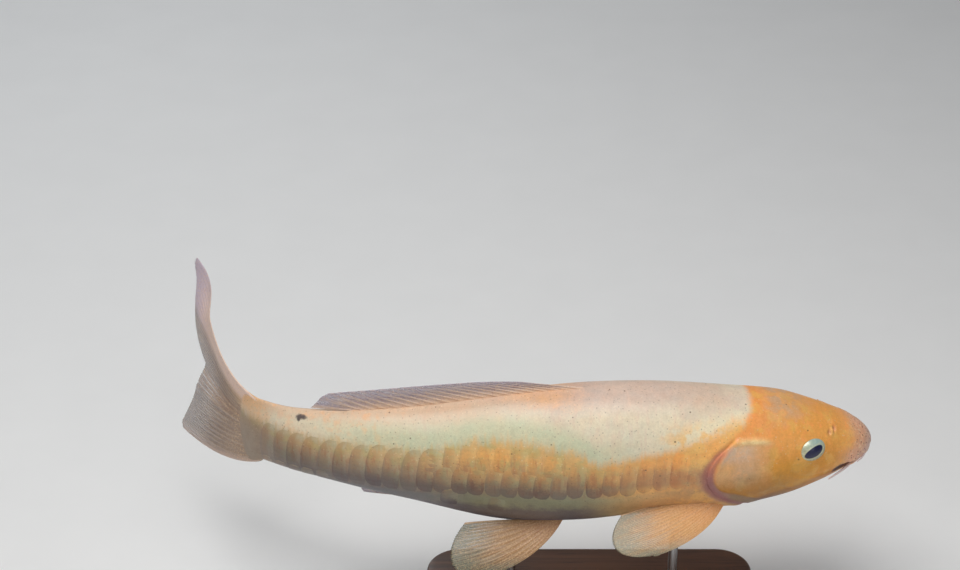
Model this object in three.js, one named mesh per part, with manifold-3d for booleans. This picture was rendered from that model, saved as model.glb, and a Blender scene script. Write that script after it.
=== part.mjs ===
// A koi carp as a still, life-size display model that turns gently to its left on a two-rod stand.
// Millimetres, +Z up. The head points towards +X and the right flank faces -Y.
// The origin is the centre of the stand's underside.
import * as THREE from 'three';
import { mergeVertices } from 'three/addons/utils/BufferGeometryUtils.js';
import Module from 'manifold-3d';

const wasm = await Module();
wasm.setup();

const degrees = THREE.MathUtils.degToRad;
const { lerp, clamp, smoothstep } = THREE.MathUtils;

// ---- driving dimensions ----

const spineLength = 456; // snout to the root of the tail fin
const swimHeight = 155; // spine above the floor
const snoutX = 204; // the snout's place along the stand
const snoutY = 18; // the snout's place across the stand
const gap = 0.3; // clearance between pieces that meet

const calmPoint = 0.52 * spineLength; // the spine runs along X here and bends both ways from it
const headTurn = degrees( - 11.5 ); // heading at the snout
const tailTurn = degrees( 32 ); // heading at the root of the tail fin
const ringSides = 28; // facets round the body

// Where the body is parted, as shares of the spine.
const headEnd = 0.292;
const trunkMiddle = 0.54;
const stalkStart = 0.79;

// Body sections along the spine. `at` is a share of spineLength, `top` and `bottom` are heights from the
// spine, and `half` is the half width. `crown` and `keel` are the exponents of the section's upper and
// lower half: 2 is an ellipse, more is boxier and less is sharper.
const sections = [
	{ at: 0.0, top: 13.5, bottom: - 12, half: 17, crown: 2.1, keel: 2.0 }, // lips
	{ at: 0.05, top: 23.2, bottom: - 21, half: 23.5, crown: 2.2, keel: 1.95 }, // snout
	{ at: 0.09, top: 31.8, bottom: - 29.5, half: 29, crown: 2.25, keel: 1.9 }, // nostrils
	{ at: 0.15, top: 42.5, bottom: - 38.8, half: 35, crown: 2.25, keel: 1.9 }, // cheeks
	{ at: 0.24, top: 50.4, bottom: - 45.5, half: 37.5, crown: 2.15, keel: 1.95 }, // gill opening
	{ at: 0.36, top: 57.4, bottom: - 47.5, half: 38, crown: 2.1, keel: 2.0 }, // shoulder
	{ at: 0.48, top: 57.7, bottom: - 53.5, half: 38, crown: 2.05, keel: 2.0 }, // front of the back fin
	{ at: 0.6, top: 51.5, bottom: - 53.5, half: 34, crown: 2.0, keel: 2.0 }, // behind the belly fins
	{ at: 0.75, top: 40.5, bottom: - 38, half: 24.5, crown: 2.0, keel: 2.0 }, // vent
	{ at: 0.88, top: 32, bottom: - 28, half: 15.5, crown: 2.0, keel: 2.0 }, // tail stalk
	{ at: 0.95, top: 28.5, bottom: - 26, half: 10.5, crown: 2.0, keel: 2.0 }, // narrowest
	{ at: 1.0, top: 28.5, bottom: - 26, half: 5, crown: 2.0, keel: 2.0 }, // root of the tail fin
];
const nose = { length: 0.055, square: 2.3 }; // the rounding of the snout, and how blunt it is

// The eyes look a little ahead and up, and stand proud of the cheek by radius less sunk. They are longer
// than they are tall, by these shares of the radius.
const eye = {
	at: 0.119, lift: degrees( 20 ), radius: 11.6, sunk: 7.6, long: 1.16, tall: 0.92,
	ahead: degrees( 24 ), upwards: degrees( 22 ), round: 14, rows: 8,
};

const gillCover = { at: 0.222, depth: 21 }; // the cover's middle, and the plane behind its plate
const jawAt = 0.038; // the middle of the lower jaw's outline
const beyond = 60; // a distance from the spine that is clear of the body

// Feelers: a route of points as [ back from the snout, outwards, upwards ], and the radii at its ends.
const longFeeler = {
	route: [ [ 20, 13, - 9.5 ], [ 21.5, 18.9, - 10 ], [ 28.5, 22.8, - 12.6 ], [ 38.5, 25.8, - 16.8 ] ],
	root: 1.6, tip: 0.55, lengths: 9,
};
const shortFeeler = {
	route: [ [ 8.5, 9, - 4 ], [ 8.5, 14.2, - 5 ], [ 11.5, 17.6, - 6.3 ], [ 16, 20.4, - 7.5 ] ],
	root: 1.2, tip: 0.45, lengths: 7,
};
const feelerSides = 8;

// The tail fin's lobes: how far the edge ray has spread from the root's edge at the tip, how early it does
// so, how far the lobe turns, and how long it is.
const tailFin = {
	upper: { spread: 57, early: 1.3, bend: degrees( 57 ), reach: 141 },
	lower: { spread: 38, early: 0.65, bend: degrees( 36 ), reach: 126 },
	fork: 84, // root to fork
	middle: 1.2, // the root's middle above the spine
	half: 26, // half the root's height
	ease: 58, // distance over which the fin takes up its turn
	curl: degrees( - 34 ), // the upper tip turns back
	flare: 26, // how far the upper lobe's rear margin stands out to the right
	blade: { from: 80, full: 108, until: 140, edge: 5, margin: - 2 }, // the upper tip is a broader leaf
	thick: { root: 9.5, edge: 2, margin: 0.8 }, // at the root's middle, at its ends and at the margin
};

// Fins on the midline: ray lengths, and how far the rays lean from the spine, at the front ray, over the
// crest and at the last ray. `tuck` is the share of its lean that the last ray gives up.
const backFin = {
	edge: 'top', from: 0.465, to: 0.845, rays: [ 48, 42, 30 ], lean: [ 6, 15, 21 ], tuck: 0.9, columns: 16,
};
const ventFin = {
	edge: 'bottom', from: 0.74, to: 0.8, rays: [ 39, 23, 13 ], lean: [ 2, 5, 8 ], tuck: 0, columns: 5,
};
const midFin = { sunk: 9, root: 2.6, margin: 0.8, crest: 0.65 }; // thickness at the root and the margin

// A paired fin opens as a fan of rays from `lead` to `trail`, measured outwards from straight back.
// `root` is how far the last ray's root lies behind the first one's, and how far above it; `lift` raises its tip.
const armFin = {
	at: 0.25, angle: degrees( - 49 ), root: [ 18, 12 ], droop: degrees( 15 ),
	lead: degrees( 34 ), trail: degrees( 3 ), bow: degrees( 27 ),
	leadLength: 66, middleLength: 90, trailLength: 76, sag: 5, lift: 6,
};
const bellyFin = {
	at: 0.503, angle: degrees( - 64 ), root: [ 17, 1 ], droop: degrees( 35 ),
	lead: degrees( 36 ), trail: degrees( 5 ), bow: degrees( 25 ),
	leadLength: 62, middleLength: 88, trailLength: 72, sag: 5, lift: 11,
};
const pairedFin = { sunk: 6, root: 3.2, margin: 0.7, crest: 0.45 };

const base = { length: 250, width: 124, height: 18, corner: 26, chamfer: 2.5 };
const rod = { spacing: 122, radius: 3.5, socket: 9, sides: 16 };
const collar = { radius: 9, height: 7 };

const looks = {
	head: { color: '#e6a961', roughness: 0.4, metalness: 0 },
	jaw: { color: '#e2b9a4', roughness: 0.4, metalness: 0 },
	gillCover: { color: '#e0ae74', roughness: 0.4, metalness: 0 },
	trunk: { color: '#e5cfa9', roughness: 0.4, metalness: 0 },
	stalk: { color: '#d8c1a2', roughness: 0.4, metalness: 0 },
	tailFin: { color: '#cdb8a8', roughness: 0.45, metalness: 0 },
	midFin: { color: '#dcb98a', roughness: 0.45, metalness: 0 },
	pairedFin: { color: '#e6b184', roughness: 0.45, metalness: 0 },
	eye: { color: '#20242c', roughness: 0.08, metalness: 0 },
	feeler: { color: '#ead9cf', roughness: 0.4, metalness: 0 },
	steel: { color: '#b9bcc0', roughness: 0.3, metalness: 1 },
	walnut: { color: '#5b3a24', roughness: 0.45, metalness: 0 },
};

// ---- the spine and the body's surface ----

// One section size at a share of the spine, on a smooth curve through the sections.
function sizeAt( key, share ) {

	const last = sections.length - 1;
	const i = clamp( sections.filter( ( s ) => s.at <= share ).length - 1, 0, last - 1 );
	const a = sections[ i ];
	const b = sections[ i + 1 ];
	const before = sections[ Math.max( i - 1, 0 ) ];
	const after = sections[ Math.min( i + 2, last ) ];
	const slopeA = ( b[ key ] - before[ key ] ) / ( b.at - before.at ) * ( b.at - a.at );
	const slopeB = ( after[ key ] - a[ key ] ) / ( after.at - a.at ) * ( b.at - a.at );
	const t = clamp( ( share - a.at ) / ( b.at - a.at ), 0, 1 );
	return a[ key ] * ( 1 - t ) ** 2 * ( 1 + 2 * t ) + b[ key ] * t ** 2 * ( 3 - 2 * t )
		+ slopeA * t * ( 1 - t ) ** 2 - slopeB * t ** 2 * ( 1 - t );

}

// The direction towards the tail at a heading turned from -X towards +Y.
function backwards( heading ) {

	return new THREE.Vector3( - Math.cos( heading ), Math.sin( heading ), 0 );

}

function headingAt( distance ) {

	if ( distance < calmPoint ) return headTurn * ( 1 - distance / calmPoint );
	return tailTurn * ( ( distance - calmPoint ) / ( spineLength - calmPoint ) ) ** 3;

}

// One spine point for each millimetre from the snout.
const spine = [ new THREE.Vector3( snoutX, snoutY, swimHeight ) ];
for ( let i = 0; i < spineLength; i ++ ) {

	const onwards = backwards( headingAt( i + 0.5 ) );
	spine.push( spine[ i ].clone().add( onwards ) );

}

// The spine's point, with the directions to the tail and out of the right flank.
function frameAt( distance ) {

	const heading = headingAt( distance );
	const i = clamp( Math.floor( distance ), 0, spineLength - 1 );
	return {
		at: spine[ i ].clone().lerp( spine[ i + 1 ], distance - i ),
		back: backwards( heading ),
		right: new THREE.Vector3( - Math.sin( heading ), - Math.cos( heading ), 0 ),
	};

}

function onFrame( distance, right, up ) {

	const frame = frameAt( distance );
	return frame.at.addScaledVector( frame.right, right ).add( new THREE.Vector3( 0, 0, up ) );

}

// How far the snout has swelled to the full section, from 0 at its tip to 1 behind the rounding.
function noseSwell( share ) {

	const left = 1 - clamp( share / nose.length, 0, 1 );
	return ( 1 - left ** nose.square ) ** ( 1 / nose.square );

}

// A point on the body. Angle 0 is the right flank and a quarter turn is the back.
function skinPoint( distance, angle, grow = 0 ) {

	const share = distance / spineLength;
	const swell = noseSwell( share );
	const top = sizeAt( 'top', share ) * swell + grow;
	const bottom = sizeAt( 'bottom', share ) * swell - grow;
	const half = sizeAt( 'half', share ) * swell + grow;
	const power = 2 / sizeAt( Math.sin( angle ) > 0 ? 'crown' : 'keel', share );
	const across = Math.sign( Math.cos( angle ) ) * Math.abs( Math.cos( angle ) ) ** power;
	const upwards = Math.sign( Math.sin( angle ) ) * Math.abs( Math.sin( angle ) ) ** power;
	return onFrame( distance, half * across, ( top + bottom ) / 2 + ( top - bottom ) / 2 * upwards );

}

// ---- ways of making solids ----

// Evenly spaced numbers from the first to the last, both included.
function steps( first, last, count ) {

	return Array.from( { length: count + 1 }, ( _, i ) => lerp( first, last, i / count ) );

}

// The angles of a ring's points, evenly round a full turn.
const turn = ( count ) => steps( 0, 2 * Math.PI, count ).slice( 1 );

// A closed geometry through rings of equally many points, which turn anticlockwise seen from the last ring.
function loft( rings ) {

	const sides = rings[ 0 ].length;
	const points = rings.flat();
	const index = [];
	for ( let r = 0; r < rings.length - 1; r ++ ) {

		for ( let k = 0; k < sides; k ++ ) {

			const a = r * sides + k;
			const b = r * sides + ( k + 1 ) % sides;
			index.push( a, b, b + sides, a, b + sides, a + sides );

		}

	}

	for ( const end of [ 0, rings.length - 1 ] ) {

		const middle = new THREE.Vector3();
		rings[ end ].forEach( ( p ) => middle.addScaledVector( p, 1 / sides ) );
		points.push( middle );
		for ( let k = 0; k < sides; k ++ ) {

			const a = end * sides + k;
			const b = end * sides + ( k + 1 ) % sides;
			index.push( ...( end === 0 ? [ b, a ] : [ a, b ] ), points.length - 1 );

		}

	}

	return new THREE.BufferGeometry().setFromPoints( points ).setIndex( index );

}

// A closed thin geometry about the surface place( u, v ), with u and v from 0 to 1.
function sheet( place, thickness, columns, rows ) {

	const points = [];
	const index = [];
	const small = 0.01;
	for ( const side of [ 0.5, - 0.5 ] ) {

		for ( const u of steps( 0, 1, columns ) ) {

			for ( const v of steps( 0, 1, rows ) ) {

				const alongU = place( u + small, v ).sub( place( u - small, v ) );
				const alongV = place( u, v + small ).sub( place( u, v - small ) );
				const normal = alongU.cross( alongV ).normalize();
				points.push( place( u, v ).addScaledVector( normal, side * thickness( u, v ) ) );

			}

		}

	}

	const front = ( i, j ) => i * ( rows + 1 ) + j;
	const back = ( i, j ) => front( i, j ) + points.length / 2;
	const quad = ( a, b, c, d ) => index.push( a, b, c, a, c, d );
	for ( let i = 0; i < columns; i ++ ) {

		for ( let j = 0; j < rows; j ++ ) {

			quad( front( i, j ), front( i + 1, j ), front( i + 1, j + 1 ), front( i, j + 1 ) );
			quad( back( i, j ), back( i, j + 1 ), back( i + 1, j + 1 ), back( i + 1, j ) );

		}

		quad( front( i + 1, 0 ), front( i, 0 ), back( i, 0 ), back( i + 1, 0 ) );
		quad( front( i, rows ), front( i + 1, rows ), back( i + 1, rows ), back( i, rows ) );

	}

	for ( let j = 0; j < rows; j ++ ) {

		quad( front( 0, j ), front( 0, j + 1 ), back( 0, j + 1 ), back( 0, j ) );
		quad( front( columns, j + 1 ), front( columns, j ), back( columns, j ), back( columns, j + 1 ) );

	}

	return new THREE.BufferGeometry().setFromPoints( points ).setIndex( index );

}

// A geometry, placed by a matrix where one is given, as a solid that can be cut and joined.
function solidOf( geometry, matrix ) {

	const plain = geometry.clone();
	plain.deleteAttribute( 'normal' );
	plain.deleteAttribute( 'uv' );
	if ( matrix ) plain.applyMatrix4( matrix );
	const merged = mergeVertices( plain, 1e-4 );
	return new wasm.Manifold( new wasm.Mesh( {
		numProp: 3,
		vertProperties: merged.attributes.position.array,
		triVerts: new Uint32Array( merged.index.array ),
	} ) );

}

function geometryOf( solid ) {

	const { numProp, numVert, vertProperties, triVerts } = solid.getMesh();
	const places = new Float32Array( numVert * 3 );
	for ( let i = 0; i < numVert; i ++ ) {

		const first = i * numProp;
		places.set( vertProperties.subarray( first, first + 3 ), i * 3 );

	}

	return new THREE.BufferGeometry()
		.setAttribute( 'position', new THREE.BufferAttribute( places, 3 ) )
		.setIndex( new THREE.BufferAttribute( triVerts, 1 ) );

}

// A length of the body between two shares of the spine.
function bodyLength( from, to, count, grow = 0 ) {

	const rounded = steps( 0.08, 1, 6 ).map( ( t ) => nose.length * t ** 1.7 );
	const behind = steps( nose.length, to, count ).slice( 1 );
	const shares = from > 0 ? steps( from, to, count ) : [ ...rounded, ...behind ];
	const rings = shares.map( ( share ) => {

		const distance = share * spineLength;
		return turn( ringSides ).map( ( angle ) => skinPoint( distance, angle, grow ) );

	} );
	return solidOf( loft( rings ) );

}

// A side outline, in ahead and up from a spine point, as a prism from one offset to another on the right.
function sidePrism( outline, share, from, to ) {

	const geometry = new THREE.ExtrudeGeometry( outline, {
		depth: to - from,
		bevelEnabled: false,
		curveSegments: 8,
	} );
	const frame = frameAt( share * spineLength );
	const matrix = new THREE.Matrix4()
		.makeBasis( frame.back.clone().negate(), new THREE.Vector3( 0, 0, 1 ), frame.right )
		.setPosition( frame.at.addScaledVector( frame.right, from ) );
	return solidOf( geometry, matrix );

}

// ---- the model ----

const koi = new THREE.Group();

function addNode( name, solid, look ) {

	const mesh = new THREE.Mesh( geometryOf( solid ), new THREE.MeshStandardMaterial( look ) );
	mesh.name = name;
	koi.add( mesh );

}

const sides = { right: 1, left: - 1 };

// Body: head, two lengths of trunk and the tail stalk, a gap apart.

const gapShare = gap / spineLength;
let head = bodyLength( 0, headEnd, 10 );
let trunkFront = bodyLength( headEnd + gapShare, trunkMiddle, 12 );
let trunkRear = bodyLength( trunkMiddle + gapShare, stalkStart, 11 );
const tailStalk = bodyLength( stalkStart + gapShare, 1, 11 );
const clearance = bodyLength( 0, 1 + gapShare, 44, gap ); // the whole body, a gap larger
const headClearance = bodyLength( 0, headEnd, 10, gap );

// Gill covers: plates let into the cheeks, round behind and straight above.

function coverOutline( grow ) {

	const outline = new THREE.Shape();
	outline.moveTo( 29 + grow, - 6 );
	outline.quadraticCurveTo( 29 + grow, 18 + grow, 23, 19.5 + grow );
	outline.lineTo( - 8, 22 + grow );
	outline.bezierCurveTo( - 19 - grow, 19 + grow, - 27 - grow, 8, - 27 - grow, - 3 );
	outline.bezierCurveTo( - 27 - grow, - 20, - 18, - 33 - grow, - 4, - 33 - grow );
	outline.quadraticCurveTo( 27 + grow, - 31 - grow, 29 + grow, - 6 );
	return outline;

}

for ( const [ name, side ] of Object.entries( sides ) ) {

	const reach = ( inner ) => ( side > 0 ? [ inner, beyond ] : [ - beyond, - inner ] );
	const cover = sidePrism( coverOutline( 0 ), gillCover.at, ...reach( gillCover.depth + gap ) );
	addNode( `gill_cover_${name}`, head.intersect( cover ), looks.gillCover );
	head = head.subtract( sidePrism( coverOutline( gap ), gillCover.at, ...reach( gillCover.depth ) ) );

}

// Lower jaw: what lies under the slit of the mouth.

function jawOutline( grow ) {

	const outline = new THREE.Shape();
	outline.moveTo( 40, - 8 + grow );
	outline.lineTo( 8, - 10 + grow );
	outline.quadraticCurveTo( - 4 - grow, - 13 + grow, - 8 - grow, - 40 );
	outline.lineTo( 40, - 40 );
	return outline;

}

addNode( 'lower_jaw', head.intersect( sidePrism( jawOutline( 0 ), jawAt, - beyond, beyond ) ), looks.jaw );
head = head.subtract( sidePrism( jawOutline( gap ), jawAt, - beyond, beyond ) );

// Eyes: balls sunk in the sides of the head, looking a little ahead.

for ( const [ name, side ] of Object.entries( sides ) ) {

	const middle = skinPoint( eye.at * spineLength, side > 0 ? eye.lift : Math.PI - eye.lift, - eye.sunk );
	const ball = ( radius ) => solidOf( new THREE.SphereGeometry( radius, eye.round, eye.rows )
		.scale( eye.long, eye.tall, 1 )
		.rotateX( side * ( Math.PI / 2 - eye.upwards ) )
		.rotateZ( side * eye.ahead )
		.translate( ...middle ) );
	addNode( `eye_${name}`, ball( eye.radius ), looks.eye );
	head = head.subtract( ball( eye.radius + gap ) );

}

// Feelers: a long pair at the corners of the mouth and a short pair on the upper lip.

function feeler( shape, side ) {

	const points = shape.route.map( ( [ distance, right, up ] ) => onFrame( distance, side * right, up ) );
	const curve = new THREE.CatmullRomCurve3( points );
	const rings = steps( 0, 1, shape.lengths ).map( ( t ) => {

		const along = curve.getTangentAt( t );
		const across = new THREE.Vector3( 0, 0, 1 ).cross( along ).normalize();
		const up = along.clone().cross( across );
		const radius = lerp( shape.root, shape.tip, t );
		return turn( feelerSides ).map( ( angle ) => curve.getPointAt( t )
			.addScaledVector( across, Math.cos( angle ) * radius )
			.addScaledVector( up, Math.sin( angle ) * radius ) );

	} );
	return solidOf( loft( rings ) ).subtract( headClearance );

}

for ( const [ name, side ] of Object.entries( sides ) ) {

	addNode( `feeler_long_${name}`, feeler( longFeeler, side ), looks.feeler );
	addNode( `feeler_short_${name}`, feeler( shortFeeler, side ), looks.feeler );

}

// Tail fin: two lobes whose rays fan out from the stalk and swing round to the left.

function tailFinPoint( height, out ) {

	const lobe = height > 0 ? tailFin.upper : tailFin.lower;
	const swing = lerp( tailFin.lower.bend, tailFin.upper.bend, smoothstep( height, - 0.05, 0.2 ) );
	const tip = Math.max( Math.abs( height ) - 0.88, 0 );
	const reach = lerp( tailFin.fork, lobe.reach, Math.abs( height ) ** 1.4 ) - 600 * tip ** 2;
	const count = 16;
	const step = ( reach * out - gap ) / count;
	const upper = Math.max( height, 0 );
	const place = onFrame( spineLength, 0, 0 ).add( backwards( tailTurn ).multiplyScalar( gap ) );
	for ( let i = 0; i < count; i ++ ) {

		const along = ( i + 0.5 ) * step;
		const curl = tailFin.curl * upper * smoothstep( along, 0.78 * lobe.reach, lobe.reach );
		const heading = tailTurn + swing * ( 1 - Math.exp( - along / tailFin.ease ) ) + curl;
		place.add( backwards( heading ).multiplyScalar( step ) );

	}

	const spread = lobe.spread * height * Math.max( reach * out / lobe.reach, 0 ) ** lobe.early;
	const flare = tailFin.flare * upper * ( 1 - upper ) * smoothstep( out, 0.55, 1 );
	const { from, full, until, edge, margin } = tailFin.blade;
	const broad = smoothstep( reach * out, from, full ) * ( 1 - smoothstep( reach * out, full, until ) );
	const leaf = height > 0 ? lerp( margin, edge, smoothstep( height, 0.7, 1 ) ) * broad : 0;
	return place.add( new THREE.Vector3( leaf - flare, 0, tailFin.middle + tailFin.half * height + spread ) );

}

function tailFinThickness( height, out ) {

	const { root, edge, margin } = tailFin.thick;
	const start = lerp( edge, root, Math.sqrt( Math.max( 1 - height ** 2, 0 ) ) );
	return lerp( start, edge, smoothstep( out, 0, 0.16 ) ) - ( edge - margin ) * out;

}

const lobes = { upper: [ 0.045, 1 ], lower: [ 0.035, - 1 ] }; // from the fork's edge out to the edge ray
for ( const [ name, [ inner, outer ] ] of Object.entries( lobes ) ) {

	const place = ( u, v ) => tailFinPoint( lerp( inner, outer, u ), v );
	const thickness = ( u, v ) => tailFinThickness( lerp( inner, outer, u ), v );
	const lobe = solidOf( sheet( place, thickness, 8, 11 ) );
	addNode( `tail_fin_${name}`, lobe.subtract( clearance ), looks.tailFin );

}

// Fins on the midline: rays that start in the body and lean back.

// A curve through three values, the middle one at the fin's crest.
function through( [ first, middle, last ], t ) {

	const { crest } = midFin;
	return first * ( t - crest ) * ( t - 1 ) / crest + middle * t * ( t - 1 ) / ( crest * ( crest - 1 ) )
		+ last * t * ( t - crest ) / ( 1 - crest );

}

function midFinPoint( fin, u, v ) {

	const share = lerp( fin.from, fin.to, u );
	const lean = degrees( through( fin.lean, u ) * ( 1 - fin.tuck * smoothstep( u, 0.87, 1 ) ** 2 ) );
	const along = lerp( - midFin.sunk, through( fin.rays, u ), v );
	const skin = sizeAt( fin.edge, share );
	return onFrame( share * spineLength + along * Math.cos( lean ), 0, skin + along * Math.sin( lean ) );

}

for ( const [ name, fin ] of Object.entries( { back_fin: backFin, vent_fin: ventFin } ) ) {

	const place = ( u, v ) => midFinPoint( fin, u, v );
	const thickness = ( u, v ) => lerp( midFin.root, midFin.margin, v );
	const plate = solidOf( sheet( place, thickness, fin.columns, 4 ) );
	addNode( name, plate.subtract( clearance ), looks.midFin );

}

// Paired fins: fans of rays that open outwards and back from the lower flank.

function pairedFinPoint( fin, side, u, v ) {

	const distance = fin.at * spineLength;
	const frame = frameAt( distance );
	const root = skinPoint( distance, side > 0 ? fin.angle : Math.PI - fin.angle );
	const out = frame.right.clone().multiplyScalar( side * Math.cos( fin.droop ) );
	out.z = - Math.sin( fin.droop );
	const leads = u < pairedFin.crest;
	const inwards = leads ? u / pairedFin.crest : ( 1 - u ) / ( 1 - pairedFin.crest );
	const edgeLength = leads ? fin.leadLength : fin.trailLength;
	const length = lerp( edgeLength, fin.middleLength, Math.sin( clamp( inwards, 0, 1 ) * Math.PI / 2 ) );
	const along = lerp( - pairedFin.sunk, length, v );
	const open = clamp( 1 - along / length, 0, 1 );
	const angle = lerp( fin.lead, fin.trail, u ) + fin.bow * ( 1 - u ) * open;
	const passed = along / length;
	const rise = fin.root[ 1 ] * u * open + fin.lift * u * passed - fin.sag * passed ** 2;
	return root.addScaledVector( frame.back, fin.root[ 0 ] * u * open + along * Math.cos( angle ) )
		.addScaledVector( out, along * Math.sin( angle ) )
		.add( new THREE.Vector3( 0, 0, rise ) );

}

for ( const [ name, side ] of Object.entries( sides ) ) {

	for ( const [ kind, fin ] of Object.entries( { arm_fin: armFin, belly_fin: bellyFin } ) ) {

		const place = ( u, v ) => pairedFinPoint( fin, side, u, v );
		const thickness = ( u, v ) => lerp( pairedFin.root, pairedFin.margin, v );
		const paddle = solidOf( sheet( place, thickness, 8, 7 ) );
		addNode( `${kind}_${name}`, paddle.subtract( clearance ), looks.pairedFin );

	}

}

// Stand: a chamfered board, two rods that end in blind sockets in the belly, and a collar at each foot.

function boardOutline() {

	const { length, width, corner, chamfer } = base;
	const x = length / 2 - chamfer;
	const y = width / 2 - chamfer;
	const r = corner - chamfer;
	const outline = new THREE.Shape();
	outline.absarc( x - r, y - r, r, 0, Math.PI / 2 );
	outline.absarc( r - x, y - r, r, Math.PI / 2, Math.PI );
	outline.absarc( r - x, r - y, r, Math.PI, 1.5 * Math.PI );
	outline.absarc( x - r, r - y, r, 1.5 * Math.PI, 2 * Math.PI );
	return outline;

}

function upright( radius, bottom, top, x ) {

	return solidOf( new THREE.CylinderGeometry( radius, radius, top - bottom, rod.sides )
		.rotateX( Math.PI / 2 )
		.translate( x, 0, ( top + bottom ) / 2 ) );

}

function footCollar( x ) {

	const low = base.height + gap;
	const inner = rod.radius + gap;
	const profile = [
		[ inner, low ],
		[ collar.radius, low ],
		[ collar.radius, low + 0.6 * collar.height ],
		[ 0.7 * collar.radius, low + collar.height ],
		[ inner, low + collar.height ],
		[ inner, low ],
	].map( ( [ radius, height ] ) => new THREE.Vector2( radius, height ) );
	const ring = new THREE.LatheGeometry( profile, rod.sides );
	return solidOf( ring.rotateX( Math.PI / 2 ).translate( x, 0, 0 ) );

}

let board = solidOf( new THREE.ExtrudeGeometry( boardOutline(), {
	depth: base.height - 2 * base.chamfer,
	bevelThickness: base.chamfer,
	bevelSize: base.chamfer,
	bevelSegments: 1,
	curveSegments: 5,
} ).translate( 0, 0, base.chamfer ) );

for ( const [ name, x ] of Object.entries( { front: rod.spacing / 2, rear: - rod.spacing / 2 } ) ) {

	const belly = swimHeight + sizeAt( 'bottom', ( snoutX - x ) / spineLength );
	const top = belly + rod.socket;
	const foot = base.height - rod.socket;
	addNode( `stand_rod_${name}`, upright( rod.radius, foot, top, x ), looks.steel );
	addNode( `stand_collar_${name}`, footCollar( x ), looks.steel );
	const hole = upright( rod.radius + gap, foot - gap, top + gap, x );
	board = board.subtract( hole );
	trunkFront = trunkFront.subtract( hole );
	trunkRear = trunkRear.subtract( hole );

}

addNode( 'stand_base', board, looks.walnut );
addNode( 'head', head, looks.head );
addNode( 'trunk_front', trunkFront, looks.trunk );
addNode( 'trunk_rear', trunkRear, looks.trunk );
addNode( 'tail_stalk', tailStalk, looks.stalk );

export default koi;
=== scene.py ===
import math

import bpy
import numpy as np
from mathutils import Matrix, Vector


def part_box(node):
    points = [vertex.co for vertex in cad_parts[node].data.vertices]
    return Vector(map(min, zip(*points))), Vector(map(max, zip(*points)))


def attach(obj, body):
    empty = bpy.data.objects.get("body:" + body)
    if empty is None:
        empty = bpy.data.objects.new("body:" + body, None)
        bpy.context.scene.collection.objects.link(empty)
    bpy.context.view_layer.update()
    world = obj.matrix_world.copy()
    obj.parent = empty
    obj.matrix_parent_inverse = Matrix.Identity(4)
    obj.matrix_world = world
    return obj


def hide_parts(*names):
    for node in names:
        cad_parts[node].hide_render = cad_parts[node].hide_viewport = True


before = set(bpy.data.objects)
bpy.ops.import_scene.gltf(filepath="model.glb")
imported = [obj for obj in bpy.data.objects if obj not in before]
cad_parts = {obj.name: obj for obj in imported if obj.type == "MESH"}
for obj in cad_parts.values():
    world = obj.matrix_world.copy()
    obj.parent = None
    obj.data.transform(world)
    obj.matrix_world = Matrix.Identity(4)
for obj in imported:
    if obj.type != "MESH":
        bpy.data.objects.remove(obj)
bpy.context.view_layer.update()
mm = 0.001  # the fish is shaped in millimetres, and every mesh is stored in metres


def clearSelection():
    if bpy.context.object and bpy.context.object.mode != "OBJECT":
        bpy.ops.object.mode_set(mode="OBJECT")
    bpy.ops.object.select_all(action="DESELECT")


def pick(thing):
    clearSelection()
    thing.select_set(True)
    bpy.context.view_layer.objects.active = thing


def applyAll(thing):
    pick(thing)
    for modifier in list(thing.modifiers):
        bpy.ops.object.modifier_apply(modifier=modifier.name)


def smooth(value, low, high):  # 0 below low, 1 above high, and eased between; low may be the larger
    t = np.clip((value - low) / (high - low), 0, 1)
    return t * t * (3 - 2 * t)


def bell(value, middle, width):
    return np.exp(-(((value - middle) / width) ** 2))


def between(a, b, t):
    return a + (b - a) * t


print("frame loaded")

# Camera, lights and floor

studio = {
    "cameraPlace": (-0.0842, -1.6056, 1.2804),
    "cameraPitch": 58.5,
    "lens": 100,
    "floorHalf": 6.0,
    "worldColor": (0.93, 0.96, 1.0, 1),
    "worldStrength": 0.16,
}

lamps = {  # place, aim, size across and along, watts, colour
    "key": ((-0.25, -0.35, 1.5), (-0.02, 0, 0.15), (1.1, 0.8), 17, (1.0, 0.98, 0.95)),
    "front": ((0.9, -1.5, 0.75), (0, 0, 0.13), (0.9, 0.9), 3, (1.0, 0.97, 0.93)),
    "back": ((-0.7, 1.3, 1.0), (-0.05, 0, 0.15), (0.9, 0.6), 4, (0.93, 0.97, 1.0)),
}


def makeStudio():
    bpy.ops.object.camera_add(
        location=studio["cameraPlace"], rotation=(math.radians(studio["cameraPitch"]), 0, 0)
    )
    camera = bpy.context.object
    camera.name = "camera"
    camera.data.lens = studio["lens"]
    camera.data.sensor_width = 36
    camera.data.clip_start = 0.05
    camera.data.clip_end = 50
    bpy.context.scene.camera = camera
    for name, (place, aim, size, watts, color) in lamps.items():
        direction = Vector(aim) - Vector(place)
        bpy.ops.object.light_add(
            type="AREA", location=place, rotation=direction.to_track_quat("-Z", "Y").to_euler()
        )
        lamp = bpy.context.object
        lamp.name = name + "Lamp"
        lamp.data.shape = "RECTANGLE"
        lamp.data.size, lamp.data.size_y = size
        lamp.data.energy = watts
        lamp.data.color = color
    world = bpy.data.worlds.new("studioWorld")
    world.use_nodes = True
    light = world.node_tree.nodes["Background"]
    light.inputs["Color"].default_value = studio["worldColor"]
    light.inputs["Strength"].default_value = studio["worldStrength"]
    bpy.context.scene.world = world
    bpy.context.scene.view_settings.view_transform = "Standard"
    clearSelection()
    bpy.ops.mesh.primitive_plane_add(size=2 * studio["floorHalf"], location=(0, 0, 0))
    floor = bpy.context.object
    floor.name = "floor"
    return floor


floor = makeStudio()
print("studio ready")

# Shader helpers


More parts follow.
